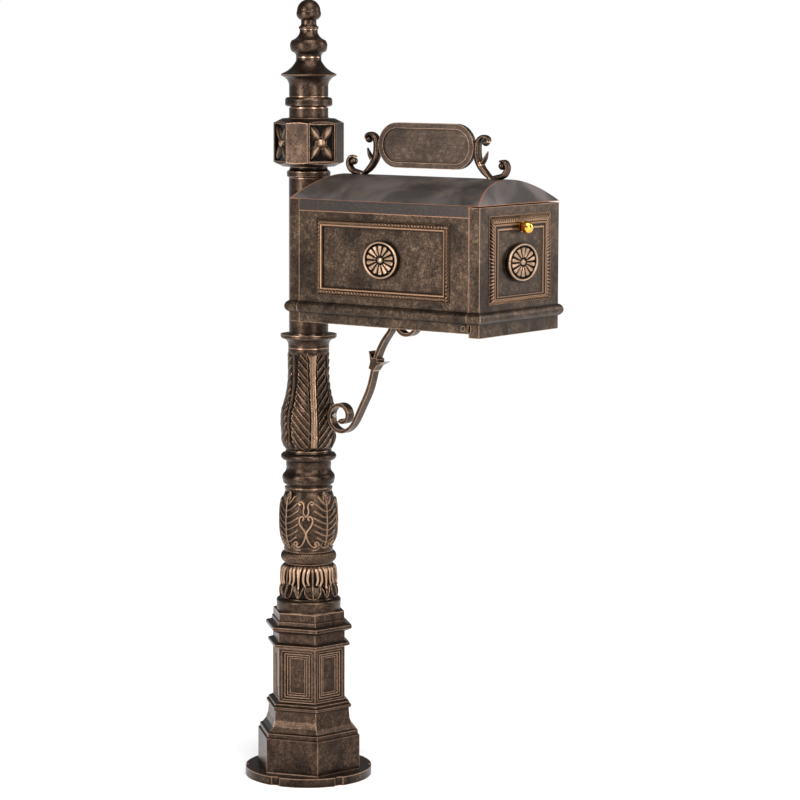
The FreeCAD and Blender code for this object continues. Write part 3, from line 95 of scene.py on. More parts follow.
class Nodes:
    """Short calls that add and join shader nodes of one material."""

    def __init__(self, name):
        self.material = bpy.data.materials.new(name)
        self.material.use_nodes = True
        self.tree = self.material.node_tree
        self.tree.nodes.clear()
        output = self.tree.nodes.new("ShaderNodeOutputMaterial")
        self.shader = self.tree.nodes.new("ShaderNodeBsdfPrincipled")
        self.tree.links.new(self.shader.outputs[0], output.inputs[0])
        self.place = self.tree.nodes.new("ShaderNodeTexCoord").outputs["Object"]

    def put(self, socket, value):
        if isinstance(value, bpy.types.NodeSocket):
            self.tree.links.new(value, socket)
        else:
            socket.default_value = value

    def stretched(self, x, y, z):
        """The coordinates scaled along each axis."""
        node = self.tree.nodes.new("ShaderNodeMapping")
        self.put(node.inputs["Vector"], self.place)
        node.inputs["Scale"].default_value = (x, y, z)
        return node.outputs[0]

    def noise(self, scale, detail=3.0, rough=0.5, distortion=0.0, vector=None):
        node = self.tree.nodes.new("ShaderNodeTexNoise")
        self.put(node.inputs["Vector"], vector or self.place)
        node.inputs["Scale"].default_value = scale
        node.inputs["Detail"].default_value = detail
        node.inputs["Roughness"].default_value = rough
        node.inputs["Distortion"].default_value = distortion
        return node.outputs["Fac"]

    def ramp(self, value, low, high, start=0.0, end=1.0):
        """value from low to high becomes start to end, smoothly, and is held outside."""
        node = self.tree.nodes.new("ShaderNodeMapRange")
        node.interpolation_type = "SMOOTHSTEP"
        self.put(node.inputs["Value"], value)
        node.inputs["From Min"].default_value = low
        node.inputs["From Max"].default_value = high
        node.inputs["To Min"].default_value = start
        node.inputs["To Max"].default_value = end
        return node.outputs["Result"]

    def math(self, kind, first, second):
        node = self.tree.nodes.new("ShaderNodeMath")
        node.operation = kind
        node.use_clamp = kind in ("ADD", "SUBTRACT")
        self.put(node.inputs[0], first)
        self.put(node.inputs[1], second)
        return node.outputs[0]

    def open_math(self, kind, first, second):
        """Math whose result isn't held between 0 and 1."""
        node = self.tree.nodes.new("ShaderNodeMath")
        node.operation = kind
        self.put(node.inputs[0], first)
        self.put(node.inputs[1], second)
        return node.outputs[0]

    def mix(self, factor, first, second):
        node = self.tree.nodes.new("ShaderNodeMix")
        node.data_type = "RGBA"
        self.put(node.inputs["Factor"], factor)
        self.put(node.inputs[6], first)
        self.put(node.inputs[7], second)
        return node.outputs[2]

    def open_air(self, reach, inside):
        """1 on open surface, less in hollows, or less on outward edges when inside."""
        node = self.tree.nodes.new("ShaderNodeAmbientOcclusion")
        node.samples = 5
        node.inside = inside
        node.only_local = inside
        node.inputs["Distance"].default_value = reach
        return node.outputs["AO"]

    def bump(self, height, distance, strength=1.0):
        node = self.tree.nodes.new("ShaderNodeBump")
        self.put(node.inputs["Height"], height)
        node.inputs["Distance"].default_value = distance
        node.inputs["Strength"].default_value = strength
        self.put(self.shader.inputs["Normal"], node.outputs[0])


def bronze(name, deep, body, rub, edge, edge_reach=3.0, patches=0.4, metal=0.85, rough=0.36, grain=0.25,
           stretch=(1.0, 1.0, 1.0), carved=False):
    """Antique bronze paint: dark body, worn patches, rubbed edges and painted shade in hollows and gaps.

    deep, body, rub and edge are its colours, edge_reach in mm is how far wear runs in from an edge,
    patches is how much of the open surface the wear has reached and stretch draws the wear out into
    streaks along the axis with the small number. carved is for ornament: its ground stays dark and its
    tops are rubbed, by the mesh's own "raised" attribute.
    """
    n = Nodes(name)
    cloud = n.noise(13, 5, 0.65, 0.6)
    blotch = n.noise(85, 6, 0.75, 0.3)
    speck = n.noise(380, 5, 0.8)
    fine = n.noise(1500, 2, 0.6)
    wipe = n.noise(200, 5, 0.75, 0.2, n.stretched(*stretch))
    colour = n.mix(n.ramp(speck, 0.38, 0.62), rgb(deep), rgb(body))
    colour = n.mix(n.ramp(cloud, 0.52, 0.36, 0.0, 0.55), colour, rgb(deep))
    worn = n.math("MULTIPLY", n.ramp(blotch, 0.38, 0.68), n.ramp(wipe, 0.36, 0.66))
    worn = n.math("MULTIPLY", worn, n.ramp(cloud, 0.36, 0.60, 0.25, 1.0))
    colour = n.mix(n.math("MULTIPLY", worn, patches), colour, rgb(rub))
    if carved:
        own = n.tree.nodes.new("ShaderNodeAttribute")
        own.attribute_name = "raised"
        raised = n.math("ADD", own.outputs["Fac"], n.ramp(speck, 0.3, 0.7, 0.0, 0.08))
        colour = n.mix(n.ramp(raised, 0.42, 0.14, 0.0, 0.93), colour, rgb("050302"))
        colour = n.mix(n.ramp(raised, 0.56, 0.90, 0.0, 0.80), colour, rgb(edge))
    # painted shade: ambient occlusion, counting neighbouring parts too, darkens hollows and gaps towards
    # near black
    open_to_light = n.ramp(n.open_air(12 * MM, False), 0.42, 0.97)
    colour = n.mix(n.math("SUBTRACT", 0.95, open_to_light), colour, rgb("060403"))
    corner = n.ramp(n.open_air(edge_reach * MM, True), 0.97, 0.62)
    brushed = n.math("MULTIPLY", corner, n.ramp(n.noise(160, 4, 0.7), 0.25, 0.60, 0.35, 1.0))
    colour = n.mix(n.math("MULTIPLY", brushed, 0.92), colour, rgb(edge))
    n.put(n.shader.inputs["Base Color"], colour)
    n.shader.inputs["Metallic"].default_value = metal
    n.shader.inputs["Specular IOR Level"].default_value = 0.5
    speck_gloss = n.ramp(speck, 0.3, 0.7, rough - 0.05, rough + 0.10)
    gloss = n.math("ADD", speck_gloss, n.ramp(cloud, 0.3, 0.7, 0.0, 0.06))
    n.put(n.shader.inputs["Roughness"], n.math("SUBTRACT", gloss, n.math("MULTIPLY", corner, 0.08)))
    height = n.math("ADD", n.math("MULTIPLY", speck, 0.7), n.math("MULTIPLY", fine, 0.3))
    n.bump(height, grain * MM, 0.9)
    return n.material


# how far the barrel roof rises above its eave, and how far its ends lean in over that rise, in metres
ROOF_RISE = 0.050
ROOF_LEAN = 0.033


def roof_bronze():
    """Smooth satin dark brown with faint clouding, worn to copper at the arch's edges."""
    n = Nodes("roof_bronze")
    cloud = n.noise(9, 3, 0.55, 0.5)
    streak = n.noise(40, 4, 0.6, vector=n.stretched(1.0, 0.35, 1.0))
    fine = n.noise(900, 3, 0.6)
    colour = n.mix(n.ramp(cloud, 0.35, 0.68), rgb("3e3937"), rgb("645c59"))
    colour = n.mix(n.math("MULTIPLY", n.ramp(streak, 0.52, 0.74), 0.45), colour, rgb("6a5449"))
    low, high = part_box("box_roof")
    apart = n.tree.nodes.new("ShaderNodeSeparateXYZ")
    n.put(apart.inputs[0], n.place)
    facing = n.tree.nodes.new("ShaderNodeSeparateXYZ")
    n.put(facing.inputs[0], n.tree.nodes.new("ShaderNodeTexCoord").outputs["Normal"])
    forward, height = apart.outputs["Y"], apart.outputs["Z"]
    eave = high.z - ROOF_RISE
    climb = n.ramp(height, eave, high.z)
    climb.node.interpolation_type = "LINEAR"
    lean = n.math("MULTIPLY", climb, ROOF_LEAN)
    front_edge = n.math("SUBTRACT", n.open_math("SUBTRACT", forward, low.y), lean)
    rear_edge = n.math("SUBTRACT", n.open_math("SUBTRACT", high.y, forward), lean)
    hip = n.open_math("MINIMUM", front_edge, rear_edge)
    barrel = n.ramp(n.open_math("ABSOLUTE", facing.outputs["Y"], 0.0), 0.6, 0.4)
    hip_wear = n.math("MULTIPLY", n.ramp(hip, 5 * MM, 0.5 * MM), barrel)
    fascia = n.ramp(height, eave + 0.4 * MM, eave - 0.4 * MM)
    speckle = n.mix(n.ramp(n.noise(380, 5, 0.8), 0.38, 0.62), rgb("080504"), rgb("33271f"))
    colour = n.mix(fascia, colour, speckle)
    corner = n.ramp(n.open_air(1.6 * MM, True), 0.90, 0.50)
    corner = n.open_math("MAXIMUM", corner, hip_wear)
    patchy = n.math("MULTIPLY", corner, n.ramp(n.noise(120, 4, 0.7), 0.25, 0.55, 0.4, 1.0))
    colour = n.mix(n.math("MULTIPLY", patchy, 0.9), colour, rgb("b87752"))
    n.put(n.shader.inputs["Base Color"], colour)
    n.shader.inputs["Metallic"].default_value = 0.55
    n.shader.inputs["Coat Weight"].default_value = 0.15
    n.shader.inputs["Coat Roughness"].default_value = 0.35
    n.put(n.shader.inputs["Roughness"], n.ramp(cloud, 0.3, 0.7, 0.34, 0.46))
    n.bump(fine, 0.12 * MM, 0.6)
    return n.material


def polished_brass():
    """Turned brass with fine grain and finger marks."""
    n = Nodes("polished_brass")
    mark = n.noise(220, 4, 0.6, 0.5)
    colour = n.mix(n.ramp(mark, 0.35, 0.7), rgb("d9982f"), rgb("efc063"))
    # painted shade: ambient occlusion, counting the door beside it too, darkens the brass to dark brown in
    # its hollows and at its foot
    colour = n.mix(n.ramp(n.open_air(5 * MM, False), 0.9, 0.3, 0.0, 0.8), colour, rgb("5f3a10"))
    n.put(n.shader.inputs["Base Color"], colour)
    n.shader.inputs["Metallic"].default_value = 1.0
    n.put(n.shader.inputs["Roughness"], n.ramp(mark, 0.3, 0.7, 0.14, 0.26))
    n.bump(n.noise(1200, 2, 0.5), 0.05 * MM, 0.4)
    return n.material


def plain_metal(name, dark, light, rough, metal=1.0, scale=300, grain=0.1):
    """Bare metal with blotched colour and roughness."""
    n = Nodes(name)
    mark = n.noise(scale, 5, 0.65)
    colour = n.mix(n.ramp(mark, 0.3, 0.7), rgb(dark), rgb(light))
    edge = n.ramp(n.open_air(1.0 * MM, True), 0.95, 0.55)
    colour = n.mix(n.math("MULTIPLY", edge, 0.5), colour, rgb("d0cbc4"))
    n.put(n.shader.inputs["Base Color"], colour)
    n.shader.inputs["Metallic"].default_value = metal
    n.put(n.shader.inputs["Roughness"], n.ramp(mark, 0.3, 0.7, rough - 0.08, rough + 0.12))
    n.bump(n.noise(scale * 4, 3, 0.6), grain * MM, 0.6)
    return n.material


def signal_red():
    """Enamelled sheet: slight orange peel, dulled patches and chipped edges."""
    n = Nodes("signal_red")
    cloud = n.noise(60, 4, 0.6)
    colour = n.mix(n.ramp(cloud, 0.3, 0.7), rgb("8f1512"), rgb("b3221b"))
    edge = n.ramp(n.open_air(1.5 * MM, True), 0.9, 0.5)
    chip = n.math("MULTIPLY", edge, n.ramp(n.noise(300, 4, 0.7), 0.5, 0.62))
    colour = n.mix(chip, colour, rgb("3a2a24"))
    n.put(n.shader.inputs["Base Color"], colour)
    n.put(n.shader.inputs["Roughness"], n.ramp(cloud, 0.3, 0.7, 0.30, 0.45))
    n.bump(n.noise(500, 2, 0.5), 0.1 * MM, 0.5)
    return n.material


def stage_floor():
    """Pale matt ground."""
    n = Nodes("stage_floor")
    cloud = n.noise(3, 3, 0.5)
    n.put(n.shader.inputs["Base Color"], n.mix(cloud, (0.86, 0.86, 0.86, 1), (0.90, 0.90, 0.90, 1)))
    n.shader.inputs["Roughness"].default_value = 0.85
    n.shader.inputs["Specular IOR Level"].default_value = 0.1
    return n.material


# ---------------------------------------------------------------------------------------------------------
# mesh makers
# ---------------------------------------------------------------------------------------------------------
def finish_mesh(name, points, faces, material, crease=38, raised=()):
    """Object of a closed mesh in metres, smooth except across edges sharper than crease degrees.

    raised says how far each point stands out of the ornament's ground, from 0 to 1, for the material.
    """
    mesh = bpy.data.meshes.new(name)
    mesh.from_pydata([tuple(p) for p in points], [], faces)
    work = bmesh.new()
    work.from_mesh(mesh)
    bmesh.ops.recalc_face_normals(work, faces=work.faces)
    work.to_mesh(mesh)
    work.free()
    mesh.polygons.foreach_set("use_smooth", [True] * len(mesh.polygons))
    mesh.set_sharp_from_angle(angle=math.radians(crease))
    mesh.materials.append(material)
    if len(raised):
        values = np.zeros(len(mesh.vertices), np.float32)
        values[:len(raised)] = np.clip(raised, 0, 1)
        mesh.attributes.new("raised", "FLOAT", "POINT").data.foreach_set("value", values)
    piece = bpy.data.objects.new(name, mesh)
    scene.collection.objects.link(piece)
    return piece


def skin(grid, ring=True):
    """Points and faces over a grid of rows x columns x 3, whose columns close on themselves.

    With ring the last row joins the first; otherwise each end is closed by a fan.
    """
    grid = np.asarray(grid, float)
    rows, columns = grid.shape[:2]
    index = np.arange(rows * columns).reshape(rows, columns)
    low = index if ring else index[:-1]
    high = np.roll(index, -1, 0) if ring else index[1:]
    quads = np.stack([low, np.roll(low, -1, 1), np.roll(high, -1, 1), high], -1).reshape(-1, 4)
    faces = quads.tolist()
    points = grid.reshape(-1, 3)
    if not ring:
        for row, turned in ((0, True), (rows - 1, False)):
            hub = len(points)
            points = np.vstack([points, grid[row].mean(0)])
            for column in range(columns):
                here, there = index[row, column], index[row, (column + 1) % columns]
                faces.append([int(there), int(here), hub] if turned else [int(here), int(there), hub])
    return points, faces


def joined(parts):
    """One list of points and faces from several."""
    points, faces, start = [], [], 0
    for more, shapes in parts:
        points.append(np.asarray(more, float))
        faces += [[corner + start for corner in face] for face in shapes]
        start += len(more)
    return np.vstack(points), faces


def smooth_line(points, steps=8):
    """Catmull-Rom curve through the points."""
    p = np.asarray(points, float)
    p = np.vstack([2 * p[0] - p[1], p, 2 * p[-1] - p[-2]])
    out = []
    for k in range(1, len(p) - 2):
        for part in np.linspace(0, 1, steps, endpoint=False):
            a, b, c, d = p[k - 1:k + 3]
            out.append(0.5 * (2 * b + (c - a) * part + (2 * a - 5 * b + 4 * c - d) * part ** 2
                              + (3 * b - a - 3 * c + d) * part ** 3))
    out.append(p[-2])
    return np.array(out)


def stroke(u, v, points, width, height, end_width=None, steps=6):
    """Height over the plane (u, v) of a rounded ridge that follows the points."""
    line = smooth_line(points, steps)
    count = len(line) - 1
    best = np.zeros(np.broadcast(u, v).shape)
    for k in range(count):
        a, b = line[k], line[k + 1]
        step = b - a
        along = np.clip(((u - a[0]) * step[0] + (v - a[1]) * step[1]) / max(step @ step, 1e-12), 0, 1)
        away = np.hypot(u - a[0] - along * step[0], v - a[1] - along * step[1])
        share = (k + 0.5) / count
        wide = width + ((end_width if end_width is not None else width) - width) * share
        best = np.maximum(best, height * np.sqrt(np.clip(1 - (away / wide) ** 2, 0, 1)))
    return best


def wrapped(angle, centre, period):
    """Angle from the nearest repeat of centre, within half a period either way."""
    return (angle - centre + period / 2) % period - period / 2


def turned_profile(node, bore):
    """Heights and outside radii in mm of a turned casting of the frame."""
    points = np.array([v.co for v in nodes[node].data.vertices]) / MM
    radius = np.hypot(points[:, 0], points[:, 1])
    outer = radius > bore + 2
    height = np.round(points[outer, 2], 2)
    levels = np.unique(height)
    return levels, np.array([radius[outer][height == level].max() for level in levels])


# relief of this many mm, out or in, is fully rubbed or fully dark
RELIEF_SPAN = 5.0


def cast_ring(node, relief, material, columns, rows, bore=38.0):
    """Turned casting with ornament: relief(angle in degrees, height, radius) in mm, added to the radius."""
    levels, radii = turned_profile(node, bore)
    height = np.linspace(levels[0], levels[-1], rows)[:, None]
    angle = np.linspace(0, 360, columns, endpoint=False)[None, :]
    base = np.interp(height, levels, radii)
    tall = relief(angle, height, base)
    radius = base + tall
    turn = np.radians(angle)
    outer = np.stack([radius * np.cos(turn), radius * np.sin(turn), height + 0 * turn], -1)
    inner = []
    for level in (levels[-1], levels[0]):
        inner.append(np.stack([bore * np.cos(turn[0]), bore * np.sin(turn[0]), level + 0 * turn[0]], -1))
    points, faces = skin(np.concatenate([outer, np.array(inner)]) * MM)
    raised = 0.5 + tall / (2 * RELIEF_SPAN)
    piece = finish_mesh(node + "_casting", points, faces, material, 60, raised.ravel())
    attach(piece, "stand")
    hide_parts(node)
    return piece


# ---------------------------------------------------------------------------------------------------------
# ornament of the post
# ---------------------------------------------------------------------------------------------------------
def feathered_leaf(angle, height, radius):
    """Three long leaves: broad stem, saw-toothed herringbone veins and a rib between neighbours."""
    bottom, top = 745.0, 975.0
    side = wrapped(angle, 230, 120)
    across = np.abs(side) * math.pi / 180 * radius
    half_angle = np.interp(height, [750, 770, 800, 860, 915, 945, 965], [42, 50, 52, 48, 44, 42, 36])
    edge = (half_angle - np.abs(side)) * math.pi / 180 * radius
    phase = ((height - bottom) - across * 1.15) / 19.0
    part = phase % 1
    fall = np.where(part < 0.86, 1 - (part - 0.80) / 0.06, 0)
    vein = np.where(part < 0.80, 0.35 + 0.65 * part / 0.80, fall)
    vein = np.where(part > 0.95, (part - 0.95) / 0.05 * 0.35, vein)
    serrated = np.clip((edge + 4.0 * (part - 0.5)) / 1.5, 0, 1)
    leaf = serrated * (0.8 + 3.8 * vein)
    stem_half = np.interp(height, [750, 900, 950, 968], [8.0, 7.2, 8.5, 13.0])
    stem = 5.0 * np.clip((stem_half - across) / 1.2, 0, 1) + 1.0 * np.clip(1 - across / 3.0, 0, 1)
    trench = np.clip((across - stem_half) / 1.2, 0, 1) * np.clip((stem_half + 3.0 - across) / 1.0, 0, 1)
    rib_away = (60 - np.abs(side)) * math.pi / 180 * radius
    rib = 3.6 * np.sqrt(np.clip(1 - (rib_away / 3.4) ** 2, 0, 1))
    shape = np.maximum(np.maximum(leaf * (1 - 0.8 * trench), stem), rib) - 3.2
    fade = np.clip((height - bottom - 5) / 5, 0, 1) * np.clip((top - 8 - height) / 8, 0, 1)
    return shape * fade


def lyre_and_fronds(angle, height, radius):
    """Four lyre scrolls with a fern frond between each pair."""
    mean = 62.0
    u = np.abs(wrapped(angle, 213, 90)) * math.pi / 180 * mean + 0 * height
    v = height - 516.0 + 0 * u
    edge = math.pi / 4 * mean
    shape = np.zeros(u.shape)
    lines = [
        ([(0, 44), (3, 52), (9, 60), (14, 71), (13, 81), (8, 85), (4.5, 81), (6.5, 77)], 2.7, 4.4),
        ([(0, 44), (3, 33), (8, 22), (17, 14), (26, 15), (30, 21), (25, 26), (20, 22), (23, 18)], 2.7, 4.4),
        ([(0, 84), (5, 91), (5.5, 99), (4, 107), (7, 115), (13, 118), (17, 114), (13.5, 110)], 2.5, 4.2),
        ([(17, 6), (26, 7), (33, 12), (39, 20)], 1.9, 3.0),
    ]
    for points, width, tall in lines:
        shape = np.maximum(shape, stroke(u, v, points, width, tall))
    for bead in ((0, 84, 3.0), (17, 6, 2.6), (12, 112, 3.2), (24, 20, 2.8)):
        away = np.hypot(u - bead[0], v - bead[1])
        shape = np.maximum(shape, 4.2 * np.sqrt(np.clip(1 - (away / bead[2]) ** 2, 0, 1)))
    stem = 3.8 * np.sqrt(np.clip(1 - ((u - edge) / 2.4) ** 2, 0, 1)) * np.clip((132 - v) / 6, 0, 1)
    shape = np.maximum(shape, stem * np.clip((v - 6) / 5, 0, 1))
    for k, reach in enumerate((18, 23, 27, 30, 31, 30, 27, 19)):
        root = 10 + k * 14.0
        rise = 10 + 1.4 * k
        tip_u, tip_v = edge - reach, root + rise
        blade = [(edge, root), (edge - reach * 0.45, root + rise * 0.30), (tip_u, tip_v)]
        shape = np.maximum(shape, stroke(u, v, blade, 1.7, 3.4, 3.4, 5))
    bud = [(edge - 4.5, 112), (edge - 6.0, 122), (edge, 137)]
    shape = np.maximum(shape, stroke(u, v, bud, 1.8, 3.2))
    field = 1.0 - np.clip((v - 10) / 4, 0, 1) * np.clip((140 - v) / 6, 0, 1) * 3.4
    return np.maximum(shape - 1.6, field - 1.0) * np.clip((v - 1) / 2, 0, 1) * np.clip((143 - v) / 2, 0, 1)


def twisted_rope(angle, height, radius):
    """Slanted strands round the bead in the ring's middle."""
    base = 489.0
    v = height - base
    band = np.clip((v - 4) / 3, 0, 1) * np.clip((24 - v) / 3, 0, 1)
    strand = np.abs(np.sin(math.pi * (66 * angle / 360 + v / 9.0)))
    return band * (3.0 * np.sqrt(strand) - 2.6)


def drooping_leaves(angle, height, radius):
    """Six round-tipped leaves with three hanging fingers between their stems."""
    mean = 64.0
    u = np.abs(wrapped(angle, 227, 60)) * math.pi / 180 * mean + 0 * height
    v = height - 407.0 + 0 * u
    half = math.pi / 6 * mean
    shape = np.zeros(u.shape)
    spine = [(0, 74), (0, 50), (0, 24), (0, 5)]
    shape = np.maximum(shape, stroke(u, v, spine, 5.0, 5.2, 1.6))
    rim = [(9, 44), (16, 34), (18, 22), (12, 9), (0, 4)]
    shape = np.maximum(shape, stroke(u, v, rim, 1.8, 4.4, 1.8))
    blade = np.clip((17 - u) / 2, 0, 1) * np.clip((v - 8) / 3, 0, 1) * np.clip((36 - v) / 6, 0, 1)
    shape = np.maximum(shape, 1.4 * blade)
    fingers = (
        [(9, 73), (11.5, 60), (12, 48), (9, 38)],
        [(19, 74), (21.5, 60), (22, 46), (18, 35)],
        [(30, 74), (32.5, 60), (half, 46), (half, 30)],
    )
    for line in fingers:
        shape = np.maximum(shape, stroke(u, v, line, 5.8, 7.2, 3.4))
    shape = np.maximum(shape, stroke(u, v, [(19, 36), (25, 24), (30, 12), (half, 5)], 1.6, 3.6, 1.4))
    shape = np.maximum(shape, stroke(u, v, [(half, 34), (half, 20), (half, 6)], 1.8, 3.2, 1.0))
    collar = 5.0 * np.clip((v - 72) / 4, 0, 1) * np.clip((80 - v) / 4, 0, 1)
    fade = np.clip((v - 1) / 3, 0, 1) * np.clip((81 - v) / 3, 0, 1)
    return (np.maximum(shape, collar) - 3.6) * fade


# nested frames of a pedestal face: distance in from the face's edge, and depth below it, in mm
FRAME_STEPS = (
    (0.0, 0.0), (6.6, 0.0), (7.6, 2.6), (9.8, 2.6), (10.8, 0.9), (12.6, 0.9), (13.6, 3.3), (15.2, 3.3),
    (16.0, 1.8), (17.4, 1.8), (18.4, 4.0), (19.8, 4.0), (20.6, 2.8), (21.8, 2.8), (23.0, 4.4), (26.0, 4.0),
)


def panelled_shaft(material):
    """Six-sided middle of the pedestal with nested rectangular frames on every face."""
    low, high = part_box("pedestal_shaft")
    bottom, top = low.z / MM, high.z / MM
    circumradius = 87.0
    twist = -12.0
    inner = circumradius * math.cos(math.pi / 6)
    half = circumradius / 2
    mid, half_height = (bottom + top) / 2, (top - bottom) / 2
    steps = np.array(FRAME_STEPS)
    squeeze = 1.22
    across = np.concatenate([-half + steps[:, 0] * squeeze, (half - steps[:, 0] * squeeze)[::-1]])
    upward = np.concatenate([-half_height + steps[:, 0], (half_height - steps[:, 0])[::-1]])
    count = len(steps)
    ring_index = np.minimum(np.arange(2 * count), 2 * count - 1 - np.arange(2 * count))
    depth = steps[np.minimum(ring_index[:, None], ring_index[None, :]), 1]
    parts = []
    for face in range(6):
        normal_angle = math.radians(twist + 30 + 60 * face)
        normal = np.array([math.cos(normal_angle), math.sin(normal_angle), 0])
        along = np.array([-normal[1], normal[0], 0])
        grid = (normal * (inner - depth[..., None]) + along * across[None, :, None]
                + np.array([0, 0, 1.0]) * (mid + upward)[:, None, None])
        index = np.arange(4 * count * count).reshape(2 * count, 2 * count)
        faces = []
        for row in range(2 * count - 1):
            for column in range(2 * count - 1):
                a, b = index[row, column], index[row, column + 1]
                c, d = index[row + 1, column + 1], index[row + 1, column]
                if row == column:
                    faces += [[a, b, c], [a, c, d]]
                elif row + column == 2 * count - 2:
                    faces += [[a, b, d], [b, c, d]]
                else:
                    faces.append([a, b, c, d])
        parts.append((grid.reshape(-1, 3) * MM, [[int(i) for i in f] for f in faces]))
    points, faces = joined(parts)
    work = bmesh.new()
    made = [work.verts.new(p) for p in points]
    for face in faces:
        work.faces.new([made[i] for i in face])
    bmesh.ops.remove_doubles(work, verts=work.verts, dist=0.01 * MM)
    bmesh.ops.holes_fill(work, edges=[e for e in work.edges if e.is_boundary])
    bmesh.ops.triangulate(work, faces=[f for f in work.faces if len(f.verts) > 4])
    work.verts.index_update()
    points = [v.co.copy() for v in work.verts]
    faces = [[v.index for v in f.verts] for f in work.faces]
    work.free()
    piece = finish_mesh("panelled_shaft", points, faces, material, 20)
    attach(piece, "stand")
    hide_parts("pedestal_shaft")


# ---------------------------------------------------------------------------------------------------------
# tiles, borders and rosettes
# ---------------------------------------------------------------------------------------------------------
def tile(origin, along, upward, normal, width, height, relief, step, thick):
    """Closed rectangular plate, centred on origin, whose face stands relief(u, v) mm over the origin."""
    columns, rows = int(width / step) + 1, int(height / step) + 1
    u = np.linspace(-width / 2, width / 2, columns)[None, :]
    v = np.linspace(-height / 2, height / 2, rows)[:, None]
    tall = relief(u + 0 * v, v + 0 * u)
    top = (np.array(origin) + u[..., None] * np.array(along) + v[..., None] * np.array(upward)
           + tall[..., None] * np.array(normal))
    back = (np.array(origin) + u[..., None] * np.array(along) + v[..., None] * np.array(upward)
            - thick * np.array(normal))
    index = np.arange(rows * columns).reshape(rows, columns)
    shift = rows * columns
    faces = []
    for base, flip in ((0, False), (shift, True)):
        a, b = index[:-1, :-1] + base, index[:-1, 1:] + base
        c, d = index[1:, 1:] + base, index[1:, :-1] + base
        quads = np.stack([a, d, c, b] if flip else [a, b, c, d], -1).reshape(-1, 4)
        faces += quads.tolist()
    rim = np.concatenate([index[0, :-1], index[:-1, -1], index[-1, :0:-1], index[:0:-1, 0]])
    after = np.roll(rim, -1)
    faces += np.stack([rim, rim + shift, after + shift, after], -1).tolist()
    raised = np.concatenate([(tall / tall.max()).ravel(), 0 * tall.ravel()])
    return np.vstack([top.reshape(-1, 3), back.reshape(-1, 3)]) * MM, faces, raised


# how far the back of a thin ornament is sunk into the wall behind it, in mm
BACK_DEPTH = 3.0
FLOWER_WIDTH = 60.0
FLOWER_HEIGHT = 82.0


def dogwood(u, v):
    """Four diagonal petals round a domed boss, drawn out to fill a recess taller than it is wide."""
    radius = np.hypot(u, v)
    shape = np.zeros(u.shape)
    v = v * FLOWER_WIDTH / FLOWER_HEIGHT
    for turn in range(4):
        angle = math.radians(45 + 90 * turn)
        p = u * math.cos(angle) + v * math.sin(angle)
        q = -u * math.sin(angle) + v * math.cos(angle)
        part = np.clip((p - 3) / 37, 0, 1)
        wide = 9.6 * np.sin(math.pi * part) ** 0.6 + 1e-6
        body = np.sqrt(np.clip(1 - (q / wide) ** 2, 0, 1)) * np.sin(math.pi * part) ** 0.4
        ridge = 0.8 * np.exp(-(q / 1.5) ** 2) * (body > 0.2)
        shape = np.maximum(shape, 5.8 * body + ridge)
    boss = 8.5 * np.sqrt(np.clip(1 - (radius / 11.5) ** 2, 0, 1))
    ring = 4.0 * np.sqrt(np.clip(1 - ((radius - 13.0) / 1.8) ** 2, 0, 1))
    return np.maximum(np.maximum(shape, ring), boss)


def flower_tiles(material):
    """The four recessed flowers of the block below the finial."""
    low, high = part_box("flower_block")
    middle = (low.z + high.z) / 2 / MM
    face_distance = 70.0
    recess = 7.0
    parts = []
    for side in range(4):
        angle = math.radians(-27 + 90 * side)
        normal = np.array([math.cos(angle), math.sin(angle), 0])
        along = np.array([-normal[1], normal[0], 0])
        origin = normal * (face_distance - recess + 0.2) + np.array([0, 0, middle])
        parts.append(tile(origin, along, (0, 0, 1.0), normal, FLOWER_WIDTH - 0.4, FLOWER_HEIGHT - 0.4,
                          dogwood, 0.8, BACK_DEPTH))
    points, faces = joined([part[:2] for part in parts])
    raised = np.concatenate([part[2] for part in parts])
    piece = finish_mesh("block_flower_reliefs", points, faces, material, 50, raised)
    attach(piece, "stand")
    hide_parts("block_flowers")


# height in mm at which a border is fully rubbed
BORDER_TOP = 4.4


def frame_relief(centre, along, upward, normal, outer, inner, section, tooth, columns_per_mm=1.4):
    """Rectangular border: outer and inner are (left, right, bottom, top) in mm about centre.

    section lists (share of the band, height, tooth share) across the band, and tooth(distance along the
    side) adds to the height where the tooth share is above zero.
    """
    def corner_loop(rect):
        left, right, bottom, top = rect
        return np.array([(left, bottom), (right, bottom), (right, top), (left, top)], float)

    outside, inside = corner_loop(outer), corner_loop(inner)
    plan = []
    for k in range(4):
        a, b = outside[k], outside[(k + 1) % 4]
        c, d = inside[k], inside[(k + 1) % 4]
        length = np.hypot(*(b - a))
        count = int(length * columns_per_mm)
        for step in range(count):
            share = step / count
            plan.append((a + (b - a) * share, c + (d - c) * share, share * length))
    start = np.array([p[0] for p in plan])
    end = np.array([p[1] for p in plan])
    run = np.array([p[2] for p in plan])
    rows, raised = [], []
    section = [(0.0, -BACK_DEPTH, 0.0)] + list(section) + [(1.0, -BACK_DEPTH, 0.0)]
    for share, tall, teeth in section:
        flat = start + (end - start) * share
        height = tall + teeth * tooth(run, share)
        rows.append(np.array(centre) + flat[:, :1] * np.array(along) + flat[:, 1:] * np.array(upward)
                    + height[:, None] * np.array(normal))
        raised.append((height + 0 * run) / BORDER_TOP)
    return (*skin(np.array(rows) * MM), np.concatenate(raised))


PETALS = 14


